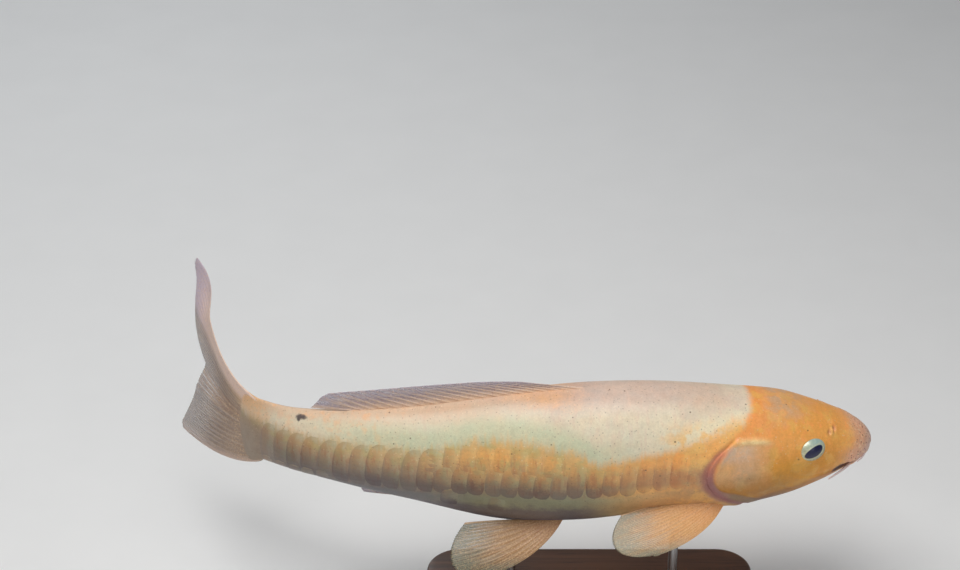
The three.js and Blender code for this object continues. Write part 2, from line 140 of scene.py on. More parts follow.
class Wire:
    # One output of a material's node. Arithmetic on it adds Math nodes.
    def __init__(self, paint, socket):
        self.paint = paint
        self.socket = socket

    def __add__(self, other):
        return self.paint.math("ADD", self, other)

    def __radd__(self, other):
        return self.paint.math("ADD", other, self)

    def __sub__(self, other):
        return self.paint.math("SUBTRACT", self, other)

    def __rsub__(self, other):
        return self.paint.math("SUBTRACT", other, self)

    def __mul__(self, other):
        return self.paint.math("MULTIPLY", self, other)

    def __rmul__(self, other):
        return self.paint.math("MULTIPLY", other, self)

    def __truediv__(self, other):
        return self.paint.math("DIVIDE", self, other)


class Paint:
    # A material and the few ways of adding to it that the paints below use.
    def __init__(self, name):
        self.material = bpy.data.materials.new(name)
        self.material.use_nodes = True
        self.tree = self.material.node_tree
        self.tree.nodes.clear()

    def node(self, kind, settings=None, inputs=None, output=0):
        made = self.tree.nodes.new(kind)
        for name, value in (settings or {}).items():
            setattr(made, name, value)
        for name, value in (inputs or {}).items():
            if isinstance(value, Wire):
                self.tree.links.new(value.socket, made.inputs[name])
            else:
                made.inputs[name].default_value = value
        return Wire(self, made.outputs[output])

    def math(self, operation, *values):
        inputs = dict(enumerate(values))
        return self.node("ShaderNodeMath", {"operation": operation}, inputs)

    def eased(self, value, low, high):  # 0 at low and 1 at high; low may be the larger
        inputs = {"Value": value, "From Min": low, "From Max": high}
        return self.node("ShaderNodeMapRange", {"interpolation_type": "SMOOTHSTEP"}, inputs)

    def span(self, value, start, full, fade, end):  # 1 from full to fade, and 0 before start and after end
        return self.eased(value, start, full) * self.eased(value, end, fade)

    def mix(self, share, first, second, blend="MIX"):  # colours
        settings = {"data_type": "RGBA", "blend_type": blend, "clamp_factor": True}
        return self.node("ShaderNodeMix", settings, {0: share, 6: first, 7: second}, 2)

    def tinted(self, share, color, tint):  # a share of the way to the colour times the tint
        return self.mix(share, color, tint, "MULTIPLY")

    def stored(self, name, output=2):  # a value kept on the mesh: 2 is a number and 1 a vector
        return self.node("ShaderNodeAttribute", {"attribute_name": name}, output=output)

    def split(self, vector):
        parts = self.tree.nodes.new("ShaderNodeSeparateXYZ")
        self.tree.links.new(vector.socket, parts.inputs[0])
        return [Wire(self, output) for output in parts.outputs]

    def joined(self, x, y, z):
        return self.node("ShaderNodeCombineXYZ", None, {0: x, 1: y, 2: z})

    def moved(self, vector, scale=(1, 1, 1), by=(0, 0, 0)):
        return self.node("ShaderNodeMapping", None, {"Vector": vector, "Scale": scale, "Location": by})

    def noise(self, vector, scale, detail=3, roughness=0.5, distortion=0):
        inputs = {
            "Vector": vector,
            "Scale": scale,
            "Detail": detail,
            "Roughness": roughness,
            "Distortion": distortion,
        }
        return self.node("ShaderNodeTexNoise", None, inputs)

    def cells(self, vector, scale, output=0):  # 0 is how far the cell's middle is, and 2 is that middle
        return self.node("ShaderNodeTexVoronoi", None, {"Vector": vector, "Scale": scale}, output)

    def place(self):  # the piece's own place in the frame, in metres
        return self.node("ShaderNodeTexCoord", output=3)

    def raised(self, height, depth):  # depth in metres
        return self.node("ShaderNodeBump", None, {"Height": height, "Distance": depth, "Strength": 1.0})

    def finish(self, **sockets):
        inputs = {name.replace("_", " "): value for name, value in sockets.items()}
        surface = self.node("ShaderNodeBsdfPrincipled", None, inputs)
        out = self.tree.nodes.new("ShaderNodeOutputMaterial")
        self.tree.links.new(surface.socket, out.inputs["Surface"])
        return self.material


def linear(red, green, blue):  # a colour given as on a screen, 0 to 255
    parts = []
    for value in (red, green, blue):
        share = value / 255
        parts.append(share / 12.92 if share <= 0.04045 else ((share + 0.055) / 1.055) ** 2.4)
    return (*parts, 1)


# The fish's shape, in millimetres. A "straight" place is the distance from the snout along the spine,
# the offset to the right and the height over the spine, as if the fish swam straight.

body = {
    "length": 456,  # snout to the root of the tail fin
    "height": 155,  # spine above the floor
    "snout": (204, 18),
    "calm": 0.52,  # the spine bends both ways from this share of its length
    "headTurn": -11.5,
    "tailTurn": 32,
    "noseLength": 0.055,
    "noseSquare": 2.3,
    "depth": 0.5,  # the skin lies this far inside the solid
}

# share of the length, top, bottom, half width, squareness above and below
sections = np.array([
    (0.00, 13.5, -12.0, 17.0, 2.10, 2.00),  # lips
    (0.05, 23.2, -21.0, 23.5, 2.20, 1.95),
    (0.09, 31.8, -29.5, 29.0, 2.25, 1.90),
    (0.15, 42.5, -38.8, 35.0, 2.25, 1.90),  # cheeks
    (0.24, 50.4, -45.5, 37.5, 2.15, 1.95),
    (0.36, 57.4, -47.5, 38.0, 2.10, 2.00),  # shoulder
    (0.48, 57.7, -53.5, 38.0, 2.05, 2.00),
    (0.60, 51.5, -53.5, 34.0, 2.00, 2.00),
    (0.75, 40.5, -38.0, 24.5, 2.00, 2.00),  # vent
    (0.88, 32.0, -28.0, 15.5, 2.00, 2.00),
    (0.95, 28.5, -26.0, 10.5, 2.00, 2.00),
    (1.00, 28.5, -26.0, 5.0, 2.00, 2.00),  # root of the tail fin
])
columnOf = {"top": 1, "bottom": 2, "half": 3, "crown": 4, "keel": 5}


def sizeAt(key, distance):  # one section size, on a smooth curve through the sections
    at, value = sections[:, 0], sections[:, columnOf[key]]
    share = np.clip(np.asarray(distance, float) / body["length"], 0, 1)
    slope = np.empty(len(at))
    slope[1:-1] = (value[2:] - value[:-2]) / (at[2:] - at[:-2])
    slope[0] = (value[1] - value[0]) / (at[1] - at[0])
    slope[-1] = (value[-1] - value[-2]) / (at[-1] - at[-2])
    i = np.clip(np.searchsorted(at, share, side="right") - 1, 0, len(at) - 2)
    step = at[i + 1] - at[i]
    t = (share - at[i]) / step
    first = value[i] * (1 - t) ** 2 * (1 + 2 * t) + value[i + 1] * t**2 * (3 - 2 * t)
    return first + slope[i] * step * t * (1 - t) ** 2 - slope[i + 1] * step * t**2 * (1 - t)


def headingAt(distance):
    calm = body["calm"] * body["length"]
    late = np.clip((distance - calm) / (body["length"] - calm), 0, 1)
    early = math.radians(body["headTurn"]) * (1 - distance / calm)
    return np.where(distance < calm, early, math.radians(body["tailTurn"]) * late**3)


# one spine point for each millimetre, from before the snout to behind the tail's root
spineSteps = np.arange(-40, body["length"] + 41)
spineTurns = headingAt(spineSteps[:-1] + 0.5)
spineX = np.concatenate([[0], np.cumsum(-np.cos(spineTurns))])
spineY = np.concatenate([[0], np.cumsum(np.sin(spineTurns))])
spineX += body["snout"][0] - np.interp(0, spineSteps, spineX)
spineY += body["snout"][1] - np.interp(0, spineSteps, spineY)


def bent(straight):  # straight places as real ones
    distance, right, up = straight[..., 0], straight[..., 1], straight[..., 2]
    heading = headingAt(distance)
    x = np.interp(distance, spineSteps, spineX) - np.sin(heading) * right
    y = np.interp(distance, spineSteps, spineY) - np.cos(heading) * right
    return np.stack([x, y, up + body["height"]], -1)


def noseSwell(distance):
    left = 1 - np.clip(distance / body["length"] / body["noseLength"], 0, 1)
    return (1 - left ** body["noseSquare"]) ** (1 / body["noseSquare"])


def signedPower(value, power):
    return np.sign(value) * np.abs(value) ** power


def bodyPoint(distance, angle, grow):  # angle 0 is the right flank and a quarter turn is the back
    swell = noseSwell(distance)
    top = sizeAt("top", distance) * swell + grow
    bottom = sizeAt("bottom", distance) * swell - grow
    half = sizeAt("half", distance) * swell + grow
    power = 2 / np.where(np.sin(angle) > 0, sizeAt("crown", distance), sizeAt("keel", distance))
    across = half * signedPower(np.cos(angle), power)
    up = (top + bottom) / 2 + (top - bottom) / 2 * signedPower(np.sin(angle), power)
    return np.stack(np.broadcast_arrays(distance, across, up), -1)


def flankPoint(distance, up, side, grow):  # the body's surface at a height, on one flank
    top, bottom = sizeAt("top", distance), sizeAt("bottom", distance)
    reach = np.clip((up - (top + bottom) / 2) / ((top - bottom) / 2), -0.999, 0.999)
    square = np.where(reach > 0, sizeAt("crown", distance), sizeAt("keel", distance))
    angle = np.arcsin(signedPower(reach, square / 2))
    return bodyPoint(distance, angle, grow) * np.array([1, side, 1])


# Making meshes


def gridPiece(name, columns, rows, place):
    # A grid whose vertex at (u, v), both from 0 to 1, goes to place(u, v). Its map keeps u and v.
    clearSelection()
    bpy.ops.mesh.primitive_grid_add(x_subdivisions=columns, y_subdivisions=rows, size=2)
    piece = bpy.context.object
    piece.name = piece.data.name = name
    flat = np.empty(3 * len(piece.data.vertices), np.float32)
    piece.data.vertices.foreach_get("co", flat)
    u, v = (flat.reshape(rows + 1, columns + 1, 3)[..., k] / 2 + 0.5 for k in (0, 1))
    points, values = place(u.astype(float), v.astype(float))
    piece.data.vertices.foreach_set("co", (points * mm).astype(np.float32).ravel())
    piece.data.uv_layers[0].name = "OFBake"
    for key, value in values.items():
        store(piece, key, value)
    piece.data.update()
    return piece


def store(piece, name, values):  # numbers, or places, kept on the mesh's points for its material
    values = np.asarray(values, np.float32).reshape(len(piece.data.vertices), -1)
    kind, field = ("FLOAT", "value") if values.shape[1] == 1 else ("FLOAT_VECTOR", "vector")
    piece.data.attributes.new(name, kind, "POINT").data.foreach_set(field, values.ravel())


def closeUp(piece, reach=2e-6):  # merges seams and poles and turns the faces outwards
    pick(piece)
    bpy.ops.object.mode_set(mode="EDIT")
    bpy.ops.mesh.select_all(action="SELECT")
    bpy.ops.mesh.remove_doubles(threshold=reach)
    bpy.ops.mesh.normals_make_consistent(inside=False)
    bpy.ops.object.mode_set(mode="OBJECT")
    bpy.ops.object.shade_smooth()
    return piece


def unit(vectors):
    return vectors / np.maximum(np.linalg.norm(vectors, axis=-1, keepdims=True), 1e-9)


def gridNormals(points):  # rows run first, and the last column joins the first
    along = np.gradient(points, axis=0)
    wrapped = np.concatenate([points[:, -2:-1], points, points[:, 1:2]], 1)
    return unit(np.cross(wrapped[:, 2:] - wrapped[:, :-2], along))


def curveThrough(points, parts=14):  # a smooth line through given points
    points = np.array(points, float)
    padded = np.concatenate([[2 * points[0] - points[1]], points, [2 * points[-1] - points[-2]]])
    t = (np.arange(parts) / parts)[:, None]
    pieces = []
    for a, b, c, d in zip(padded, padded[1:], padded[2:], padded[3:]):
        pieces.append(
            0.5 * (2 * b + (c - a) * t + (2 * a - 5 * b + 4 * c - d) * t**2 + (3 * b - a - 3 * c + d) * t**3)
        )
    return np.concatenate([*pieces, points[-1:]])


def lineField(distance, up, route):
    # How far each place on the flank is from a line: the distance, which is positive on the line's left
    # going along it, and the share of the line passed.
    line = curveThrough(route)
    best = np.full(distance.shape, 1e9)
    side = np.zeros(distance.shape)
    share = np.zeros(distance.shape)
    for i, (a, b) in enumerate(zip(line, line[1:])):
        step = b - a
        t = np.clip(((distance - a[0]) * step[0] + (up - a[1]) * step[1]) / (step @ step), 0, 1)
        gapX, gapY = distance - a[0] - t * step[0], up - a[1] - t * step[1]
        away = np.hypot(gapX, gapY)
        nearer = away < best
        best = np.where(nearer, away, best)
        side = np.where(nearer, np.sign(step[0] * gapY - step[1] * gapX), side)
        share = np.where(nearer, (i + t) / (len(line) - 1), share)
    return best * np.where(side == 0, 1, side), share


print("measures ready")

# Markings: what the skin and the scales share

marks = {
    "nape": [(92, 70), (92.5, 56), (94, 48), (97, 42.5), (101.5, 37.6), (107, 33.5), (113.5, 28.5),
             (121, 20.5), (128, 11), (131, 1), (129, -10), (123, -18.5), (113, -27.5), (101, -36), (92, -46),
             (86, -70)],
    "bandTop": [(100, 39), (115, 37), (128, 32), (142, 28.5), (160, 24), (180, 20), (205, 16), (222, 24),
                (250, 29), (285, 30), (305, 25), (325, 19), (360, 17), (400, 15), (440, 13), (480, 12)],
    "bandBottom": [(100, -2), (125, -5), (148, -7), (170, -10), (200, -13), (300, -13), (325, -17),
                   (385, -21), (420, -26), (480, -30)],
    "gillOpening": {"rear": 129.5, "middle": 1, "swing": 22, "span": 30, "capTop": 24, "capBottom": 36},
    "blotch": [(420, 26.2, 4.2, 1.5, 0.12), (421.6, 25.2, 1.5, 2.1, 0)],  # ovals: place, half sizes, slope
}


def heightOn(route, distance):  # the height of a line that runs along the flank
    line = curveThrough(route)
    return np.interp(distance, line[:, 0], line[:, 1])


def gillLine(up):  # how far back the gill cover reaches at a height
    gill = marks["gillOpening"]
    lift = (up - gill["middle"]) / gill["span"]
    cap = np.where(lift > 0, gill["capTop"], gill["capBottom"])
    swing = gill["swing"] * lift**2
    return gill["rear"] - swing / (1 + (swing / cap) ** 6) ** (1 / 6)


def markings(straight):
    # Signed distances in millimetres, for the paints: `zone` holds the head's border, then the band's top
    # and bottom borders; `spot` holds the gill slit, the gill cover's bone edge and the lip band; `fine`
    # holds the cover's ridge, the distance from the mouth and the nostrils.
    d, side, up = straight[..., 0], np.abs(straight[..., 1]), straight[..., 2]
    nape, _ = lineField(d, up, marks["nape"])
    zone = np.stack([-nape, heightOn(marks["bandTop"], d) - up, up - heightOn(marks["bandBottom"], d)], -1)
    bone, _ = lineField(d, up, headShape["boneEdge"])
    lip, _ = lineField(d, up, headShape["lipBand"])
    spot = np.stack([d - gillLine(up), bone, lip], -1)
    ridge, share = lineField(d, up, headShape["coverRidge"])
    ridge = bell(ridge, -0.3, 2.1) * smooth(share, 0, 0.3) * smooth(share, 1, 0.6)
    mouth, _ = lineField(d, up, headShape["mouthLine"])
    over = np.abs(mouth) - 2.4 * bell(d, 29.5, 4.5) + 3 * smooth(d, 34, 40)
    pits = sum(bell(np.hypot(d - a, up - b), 0, 1.5) for a, b in headShape["nostrils"]) * (side > 10)
    return {"where": straight, "zone": zone, "spot": spot, "fine": np.stack([ridge, over, pits], -1)}


# Skin

headShape = {
    "mouthLine": [(-3, -8.4), (10, -8.6), (20, -8.6), (27, -8.2), (31, -9.2), (36, -12), (41, -16)],
    "mouthCorner": 20.5,
    "mouthCrease": 36,
    "lipBand": [(15, 24), (14.5, 19), (12, 12.5), (14, 7), (20, 2), (24, -3), (22.5, -9)],
    "boneEdge": [(111.5, 27), (115.8, 21.5), (120.6, 13), (123.9, 4), (123.4, -3), (119.4, -10.5),
                 (113, -14.8), (106, -17.5), (93, -25), (80, -32)],
    "coverRidge": [(112, 27.3), (101, 27), (90, 26), (79, 23.5)],
    "preopercle": [(80, 23), (82, 12), (81.5, 0), (78, -10), (70, -18), (58, -24)],
    "cheekFold": [(70, 3), (64, -4), (54, -8.5), (42, -9.5), (30, -8)],
    "chinFold": [(19, -12.5), (27, -17), (37, -24), (47, -31)],
    "throatFold": [(118, -26), (106, -32), (94, -36), (80, -38)],
    "nostrils": [(34.3, 22.3), (38.6, 21.8)],
    "eyeAt": 0.119 * body["length"],
    "eyeLift": 20,
    "eyeRadius": 11.6,
    "eyeOval": (1.16, 0.92),  # longer than tall
    "eyeRim": 7.75,
}
# each rises up to the first share of its line and dies away from the second; then two forms across it, each
# with a height, an offset from the line and a width
folds = {
    "coverRidge": (0.15, 0.7, (0.9, -0.4, 2.0), (-0.2, 3.6, 1.6)),
    "preopercle": (0.4, 0.9, (-0.4, 0, 1.0), (0.4, -3.0, 2.4)),
    "cheekFold": (0.08, 0.92, (-0.3, 0, 1.2), (0.3, 3.0, 2.4)),
    "chinFold": (0.08, 0.92, (-0.6, 0, 1.0), (0.3, -2.6, 2.0)),
    "throatFold": (0.08, 0.92, (-0.5, 0, 0.8), (0.3, 2.4, 1.6)),
}
sheaths = {"top": (0.463, 0.85), "bottom": (0.732, 0.803)}  # shares of the length, at the feet of the fins
skinMesh = {
    "sides": 264,
    "snoutStep": 0.62,
    "headStep": 0.8,
    "slitStep": 0.4,
    "bodyStep": 3.0,
    "tongue": 24,  # the flesh that runs out on to the tail fin's rays
    "tongueRings": 9,
}


def eyeMiddle(name):
    low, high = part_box("eye_" + name)
    return (np.array(low) + np.array(high)) / 2 / mm


def ringDistances():
    # Places of the rings along the spine: close together over the snout, the head and the gill slit.
    d = np.linspace(0, 1, 6001) ** 2.4 * body["length"]
    radius = noseSwell(d) * (sizeAt("half", d) + sizeAt("top", d)) / 2
    run = np.concatenate([[0], np.cumsum(np.hypot(np.diff(d), np.diff(radius)))])
    step = between(skinMesh["snoutStep"], skinMesh["headStep"], smooth(d, 22, 60))
    step = between(step, skinMesh["bodyStep"], smooth(d, 132, 175))
    rear = marks["gillOpening"]["rear"]
    step = between(step, skinMesh["slitStep"], bell(d, rear, 3))
    count = np.concatenate([[0], np.cumsum(np.diff(run) / ((step[1:] + step[:-1]) / 2))])
    rings = round(count[-1])
    return np.interp(np.arange(rings + 1) / rings * count[-1], count, d)


def headRelief(d, side, up):
    # The height of the head's own forms over the plain body, in millimetres.
    over, _ = lineField(d, up, headShape["mouthLine"])
    corner = headShape["mouthCorner"]
    fade = smooth(d, corner + 2, corner - 3)
    relief = fade * (
        1.0 * bell(over, 3.0, 2.0)
        + 0.9 * bell(over, -3.0, 2.1)
        - 1.6 * bell(over, 0, 0.85)
        - 0.6 * bell(over, -7, 1.3)
    )
    crease = smooth(d, headShape["mouthCrease"] + 2, corner) * smooth(d, corner - 4, corner + 3)
    relief += crease * (0.4 * bell(over, 4.0, 2.0) - 1.5 * bell(over, 0, 1.5))

    flank = smooth(side, 3, 8)
    lip, _ = lineField(d, up, headShape["lipBand"])
    lipFlank = flank * smooth(up, 20, 13)
    relief += -0.2 * bell(lip, 0, 1.8) * lipFlank + 0.15 * bell(lip, 3.0, 2.4) * lipFlank
    bone, share = lineField(d, up, headShape["boneEdge"])
    ends = smooth(share, 0, 0.08) * smooth(share, 1, 0.92)
    plate = smooth(bone, 0.9, -0.9) * smooth(bone, -34, -20) * smooth(d, 78, 92) * smooth(up, 31, 26)
    relief += 0.5 * plate * flank
    relief += 0.35 * bell(bone, -1.6, 1.2) * ends * flank - 0.3 * bell(bone, 1.2, 0.9) * ends * flank
    for route, (start, end, *forms) in folds.items():
        fold, share = lineField(d, up, headShape[route])
        ends = smooth(share, 0, start) * smooth(share, 1, end)
        relief += ends * sum(height * bell(fold, offset, width) for height, offset, width in forms)
    return relief


def skinPlaces(u):
    rings = ringDistances()
    d = rings[:, None] * np.ones_like(u[: len(rings)])
    angle = 2 * math.pi * u[: len(rings)] - math.pi / 2
    depth = body["depth"]
    # the rings lean to follow the gill opening
    rear = marks["gillOpening"]["rear"]
    upThere = bodyPoint(np.full_like(d, rear), angle, -depth)[..., 2]
    lean = smooth(d, 58, rear) * smooth(d, rear + 60, rear)
    ownPlace = d - rear  # how far behind the gill opening
    d = d + (gillLine(upThere) - rear) * lean
    plain = bodyPoint(d, angle, -depth * noseSwell(d))
    normal = gridNormals(plain)
    normal[0] = (-1, 0, 0)
    side, up = np.abs(plain[..., 1]), plain[..., 2]

    relief = headRelief(d, side, up)
    # the gill cover's rear edge stands off the shoulder, with the slit tucked under it
    opening = smooth(up, 33, 26) * smooth(side, 2, 9)
    relief += opening * (
        0.5 * smooth(ownPlace, -18, -3) * smooth(ownPlace, 0.3, -1.6)
        - 0.6 * smooth(ownPlace, -0.6, 0.5) * smooth(ownPlace, 3.6, 0.9)
        + 0.7 * bell(ownPlace, 6.0, 3.0)
    )
    slide = -0.5 * opening * smooth(ownPlace, 0.0, 0.6) * smooth(ownPlace, 2.4, 1.0)
    # nostrils: two pits with a flap between them
    for pitD, pitUp in headShape["nostrils"]:
        away = np.hypot(d - pitD, (up - pitUp) * 0.9)
        relief += (0.25 * bell(away, 2.3, 0.9) - 1.2 * bell(away, 0, 1.1)) * smooth(side, 8, 14)
    flapD, flapUp = np.mean(headShape["nostrils"], 0)
    relief += 1.0 * bell(d - flapD, 0, 0.8) * bell(up - flapUp, 0, 1.8) * smooth(side, 8, 14)
    # sheaths at the feet of the fins
    for fin, (first, last) in sheaths.items():
        sign = 1 if fin == "top" else -1
        share = d / body["length"]
        foot = smooth(share, first - 0.008, first + 0.012) * smooth(share, last + 0.01, last - 0.01)
        relief += 1.1 * foot * bell(side, 0, 3.0) * (up * sign > 0)
    straight = plain + normal * relief[..., None]
    straight[..., 0] += slide
    points = bent(straight)

    # eye sockets: the skin dives under the ball inside the rim
    for name, sign in (("right", 1), ("left", -1)):
        middle, radius = eyeMiddle(name), headShape["eyeRadius"]
        outwards, level, over = socketAxes(sign)
        offset = points - middle
        height = offset @ outwards
        long, tall = headShape["eyeOval"]
        across = np.hypot(offset @ level / long, offset @ over / tall)
        near = (height > 0) & (np.linalg.norm(offset, axis=-1) < 3 * radius)
        rim = headShape["eyeRim"]
        swell = 0.7 * bell(across, rim + 1.3, 1.1) + 0.5 * bell(across, rim + 3, 3.5)
        lifted = points + outwards * (swell * near)[..., None]
        sunk = middle + unit(offset) * (radius - 2.2)
        dive = smooth(across, rim + 0.1, rim - 0.7) * near
        points = between(lifted, sunk, dive[..., None])
    return points, straight


def socketAxes(sign):  # outwards from the head where the eye is, ahead along it, and up it
    lift = math.radians(headShape["eyeLift"])
    angle = np.array([lift, lift, lift + 0.01])
    angle = angle if sign > 0 else math.pi - angle
    distance = headShape["eyeAt"] + np.array([0, 0.5, 0])
    spot = bent(bodyPoint(distance, angle, 0))
    outwards = unit(np.cross(spot[1] - spot[0], spot[2] - spot[0]))
    outwards = outwards if outwards[1] * sign < 0 else -outwards
    level = unit(np.cross(np.array([0, 0, 1.0]), outwards) * sign)
    return outwards, level, np.cross(outwards, level) * sign


def makeSkin():
    rings = len(ringDistances())
    tongueRings = skinMesh["tongueRings"]

    def place(u, v):
        points, straight = skinPlaces(u)
        # behind the root of the tail fin a thin tongue of flesh runs out on to the fin's rays
        x = (np.arange(1, tongueRings + 1) / tongueRings) ** 0.9
        angle = 2 * math.pi * u[0] - math.pi / 2
        height = np.sin(angle) * 0.99
        reach = skinMesh["tongue"] * (0.55 + 0.45 * np.sqrt(np.maximum(1 - height**2, 0)))
        along = x[:, None] * reach
        middle, across = tailSurface(np.broadcast_to(height, along.shape), along / tailReach(height))
        half = sizeAt("half", body["length"]) - body["depth"]
        stretch = (sizeAt("top", body["length"]) - sizeAt("bottom", body["length"])) / 2 - body["depth"]
        grow = (stretch - tailFin["half"]) * (1 - x[:, None] ** 2) * height
        middle[..., 2] += grow
        thick = np.cos(angle) * half * (1 - x[:, None] ** 1.5)
        tongue = middle + across * thick[..., None]
        straightTongue = np.stack([body["length"] + along, thick, middle[..., 2] - body["height"]], -1)
        points = np.concatenate([points, tongue])
        straight = np.concatenate([straight, straightTongue])
        return points, markings(straight)

    skin = gridPiece("skin", skinMesh["sides"], rings + tongueRings - 1, place)
    return closeUp(skin)


# Tail fin

tailFin = {
    "upper": {"spread": 57, "early": 1.3, "bend": 57, "reach": 141},
    "lower": {"spread": 38, "early": 0.65, "bend": 36, "reach": 126},
    "fork": 84,
    "middle": 1.2,
    "half": 26,
    "ease": 58,
    "curl": -34,
    "flare": 26,
    "blade": {"from": 80, "full": 108, "until": 140, "edge": 5, "margin": -2},
    "gap": 0.3,
    "tipFrom": 0.88,  # the lobes' tips are rounded from this height outwards
    "tipRound": 600,
    "steps": 16,
    "rays": 22,
}


def tailReach(height):  # root to margin along a ray, for heights from -1 to 1
    lobe = np.where(height > 0, tailFin["upper"]["reach"], tailFin["lower"]["reach"])
    tip = np.maximum(np.abs(height) - tailFin["tipFrom"], 0)
    return between(tailFin["fork"], lobe, np.abs(height) ** 1.4) - tailFin["tipRound"] * tip**2


def tailPoint(height, out):
    def lobe(key):
        return np.where(height > 0, tailFin["upper"][key], tailFin["lower"][key])

    bends = [tailFin[half]["bend"] for half in ("lower", "upper")]
    swing = np.radians(between(*bends, smooth(height, -0.05, 0.2)))
    step = (tailReach(height) * out - tailFin["gap"]) / tailFin["steps"]
    upper = np.maximum(height, 0)
    turn = math.radians(body["tailTurn"])
    start = bent(np.array([body["length"], 0.0, 0.0]))
    x = start[0] - math.cos(turn) * tailFin["gap"] + np.zeros_like(step)
    y = start[1] + math.sin(turn) * tailFin["gap"] + np.zeros_like(step)
    for i in range(tailFin["steps"]):
        along = (i + 0.5) * step
        curl = math.radians(tailFin["curl"]) * upper * smooth(along, 0.78 * lobe("reach"), lobe("reach"))
        heading = turn + swing * (1 - np.exp(-along / tailFin["ease"])) + curl
        x = x - np.cos(heading) * step
        y = y + np.sin(heading) * step
    passed = np.maximum(tailReach(height) * out / lobe("reach"), 0) ** lobe("early")
    flare = tailFin["flare"] * upper * (1 - upper) * smooth(out, 0.55, 1)
    z = body["height"] + tailFin["middle"] + tailFin["half"] * height + lobe("spread") * height * passed
    blade = tailFin["blade"]
    run = tailReach(height) * out
    broad = smooth(run, blade["from"], blade["full"]) * smooth(run, blade["until"], blade["full"])
    leaf = between(blade["margin"], blade["edge"], smooth(height, 0.7, 1)) * broad * (height > 0)
    return np.stack([x - flare + leaf, y, z], -1)


def tailSurface(height, out):  # a place on the tail fin's middle surface, and its normal
    small = 0.004
    alongU = tailPoint(np.clip(height + small, -1, 1), out) - tailPoint(np.clip(height - small, -1, 1), out)
    alongV = tailPoint(height, out + small) - tailPoint(height, out - small)
    normal = unit(np.cross(alongU, alongV))
    facing = np.where(normal[..., :1] + normal[..., 1:2] > 0, -1, 1)
    return tailPoint(height, out), normal * facing


def finPiece(name, surface, thickness, fin, columns, rows):
    # A thin closed skin about surface(across, out). Its rays stand up on both sides and part in two twice.
    def place(u, v):
        passed = 1 - np.abs(1 - 2 * u)
        side = np.where(u <= 0.5, 1, -1)
        phase = passed * fin["rays"]
        across = rayPlaces(surface, passed)
        first = fin["branch"] * smooth(v, 0.38, 0.75)
        second = 0.45 * fin["branch"] * smooth(v, 0.68, 0.92)
        off = np.abs(np.abs(np.abs(phase - np.floor(phase) - 0.5) - first) - second)
        width = between(0.2, 0.075, smooth(v, 0.2, 0.9))
        ridge = np.exp(-((off / width) ** 2))
        edge = np.minimum(np.minimum(across, 1 - across) / fin["edge"], 1)
        ridge = np.maximum(ridge, 1 - smooth(edge, 0.2, 1.0))
        out = v - 0.012 * (1 - ridge) * smooth(v, 0.8, 1)
        points, normal = surface(across, out)
        thick = thickness(across, v) + 2 * ridge * between(fin["ridge"], 0.1, v**0.7)
        thick = thick * np.sqrt(1 - (1 - edge) ** 2) * np.sqrt(1 - smooth(v, 0.975, 1.0)) * (v > 0)
        wave = fin["wave"] * np.sin(across * 9 + v * 4) * v**2
        points = points + normal * (side * thick / 2 + wave)[..., None]
        return points, {"web": np.stack([across, v, ridge], -1)}

    return closeUp(gridPiece(name, columns, rows, place))


def rayPlaces(surface, passed):
    # Where a ray starts across the root, for its share of the rays passed: evenly by the margin's length.
    across = np.linspace(0, 1, 400)
    margin, _ = surface(across, np.ones_like(across))
    run = np.concatenate([[0], np.cumsum(np.linalg.norm(np.diff(margin, axis=0), axis=1))])
    return np.interp(passed, 0.35 * across + 0.65 * run / run[-1], across)


def surfaceOf(point, facing):  # a place on a surface, with the normal on the side that `facing` points to
    def surface(across, out):
        small = 0.004
        alongU = point(across + small, out) - point(across - small, out)
        alongV = point(across, out + small) - point(across, out - small)
        normal = unit(np.cross(alongU, alongV))
        return point(across, out), normal * np.where(normal @ np.array(facing) < 0, -1, 1)[..., None]

    return surface


midFins = {
    "back_fin": {"on": "top", "from": 0.465, "to": 0.845, "lengths": (48, 42, 30), "lean": (6, 15, 19),
                 "tuck": 1.22, "rays": 20, "columns": 20 * 26, "rows": 40},
    "vent_fin": {"on": "bottom", "from": 0.74, "to": 0.8, "lengths": (39, 23, 13), "lean": (2, 5, 8),
                 "tuck": 0, "rays": 7, "columns": 7 * 26, "rows": 36},
}
midFinShape = {"sunk": 9, "root": 2.6, "margin": 0.5, "crest": 0.65, "edge": 0.02, "ridge": 0.5, "wave": 0.35,
               "branch": 0.13}


def through(values, t):  # a curve through three values, the middle one at the fin's crest
    first, middle, last = values
    crest = midFinShape["crest"]
    return (
        first * (t - crest) * (t - 1) / crest
        + middle * t * (t - 1) / (crest * (crest - 1))
        + last * t * (t - crest) / (1 - crest)
    )


def makeMidFin(node):
    fin = {**midFins[node], **midFinShape}

    def point(across, out):
        share = between(fin["from"], fin["to"], across)
        lean = np.radians(through(fin["lean"], across) * (1 - fin["tuck"] * smooth(across, 0.87, 1) ** 2))
        along = between(-fin["sunk"], through(fin["lengths"], across), out)
        distance = share * body["length"]
        up = sizeAt(fin["on"], distance) + along * np.sin(lean)
        return bent(np.stack([distance + along * np.cos(lean), np.zeros_like(up), up], -1))

    def thickness(across, out):
        return between(fin["root"], fin["margin"], smooth(out, 0.0, 0.55))

    surface = surfaceOf(point, (0, -1, 0))
    return finPiece(node.replace("_f", "F"), surface, thickness, fin, fin["columns"], fin["rows"])


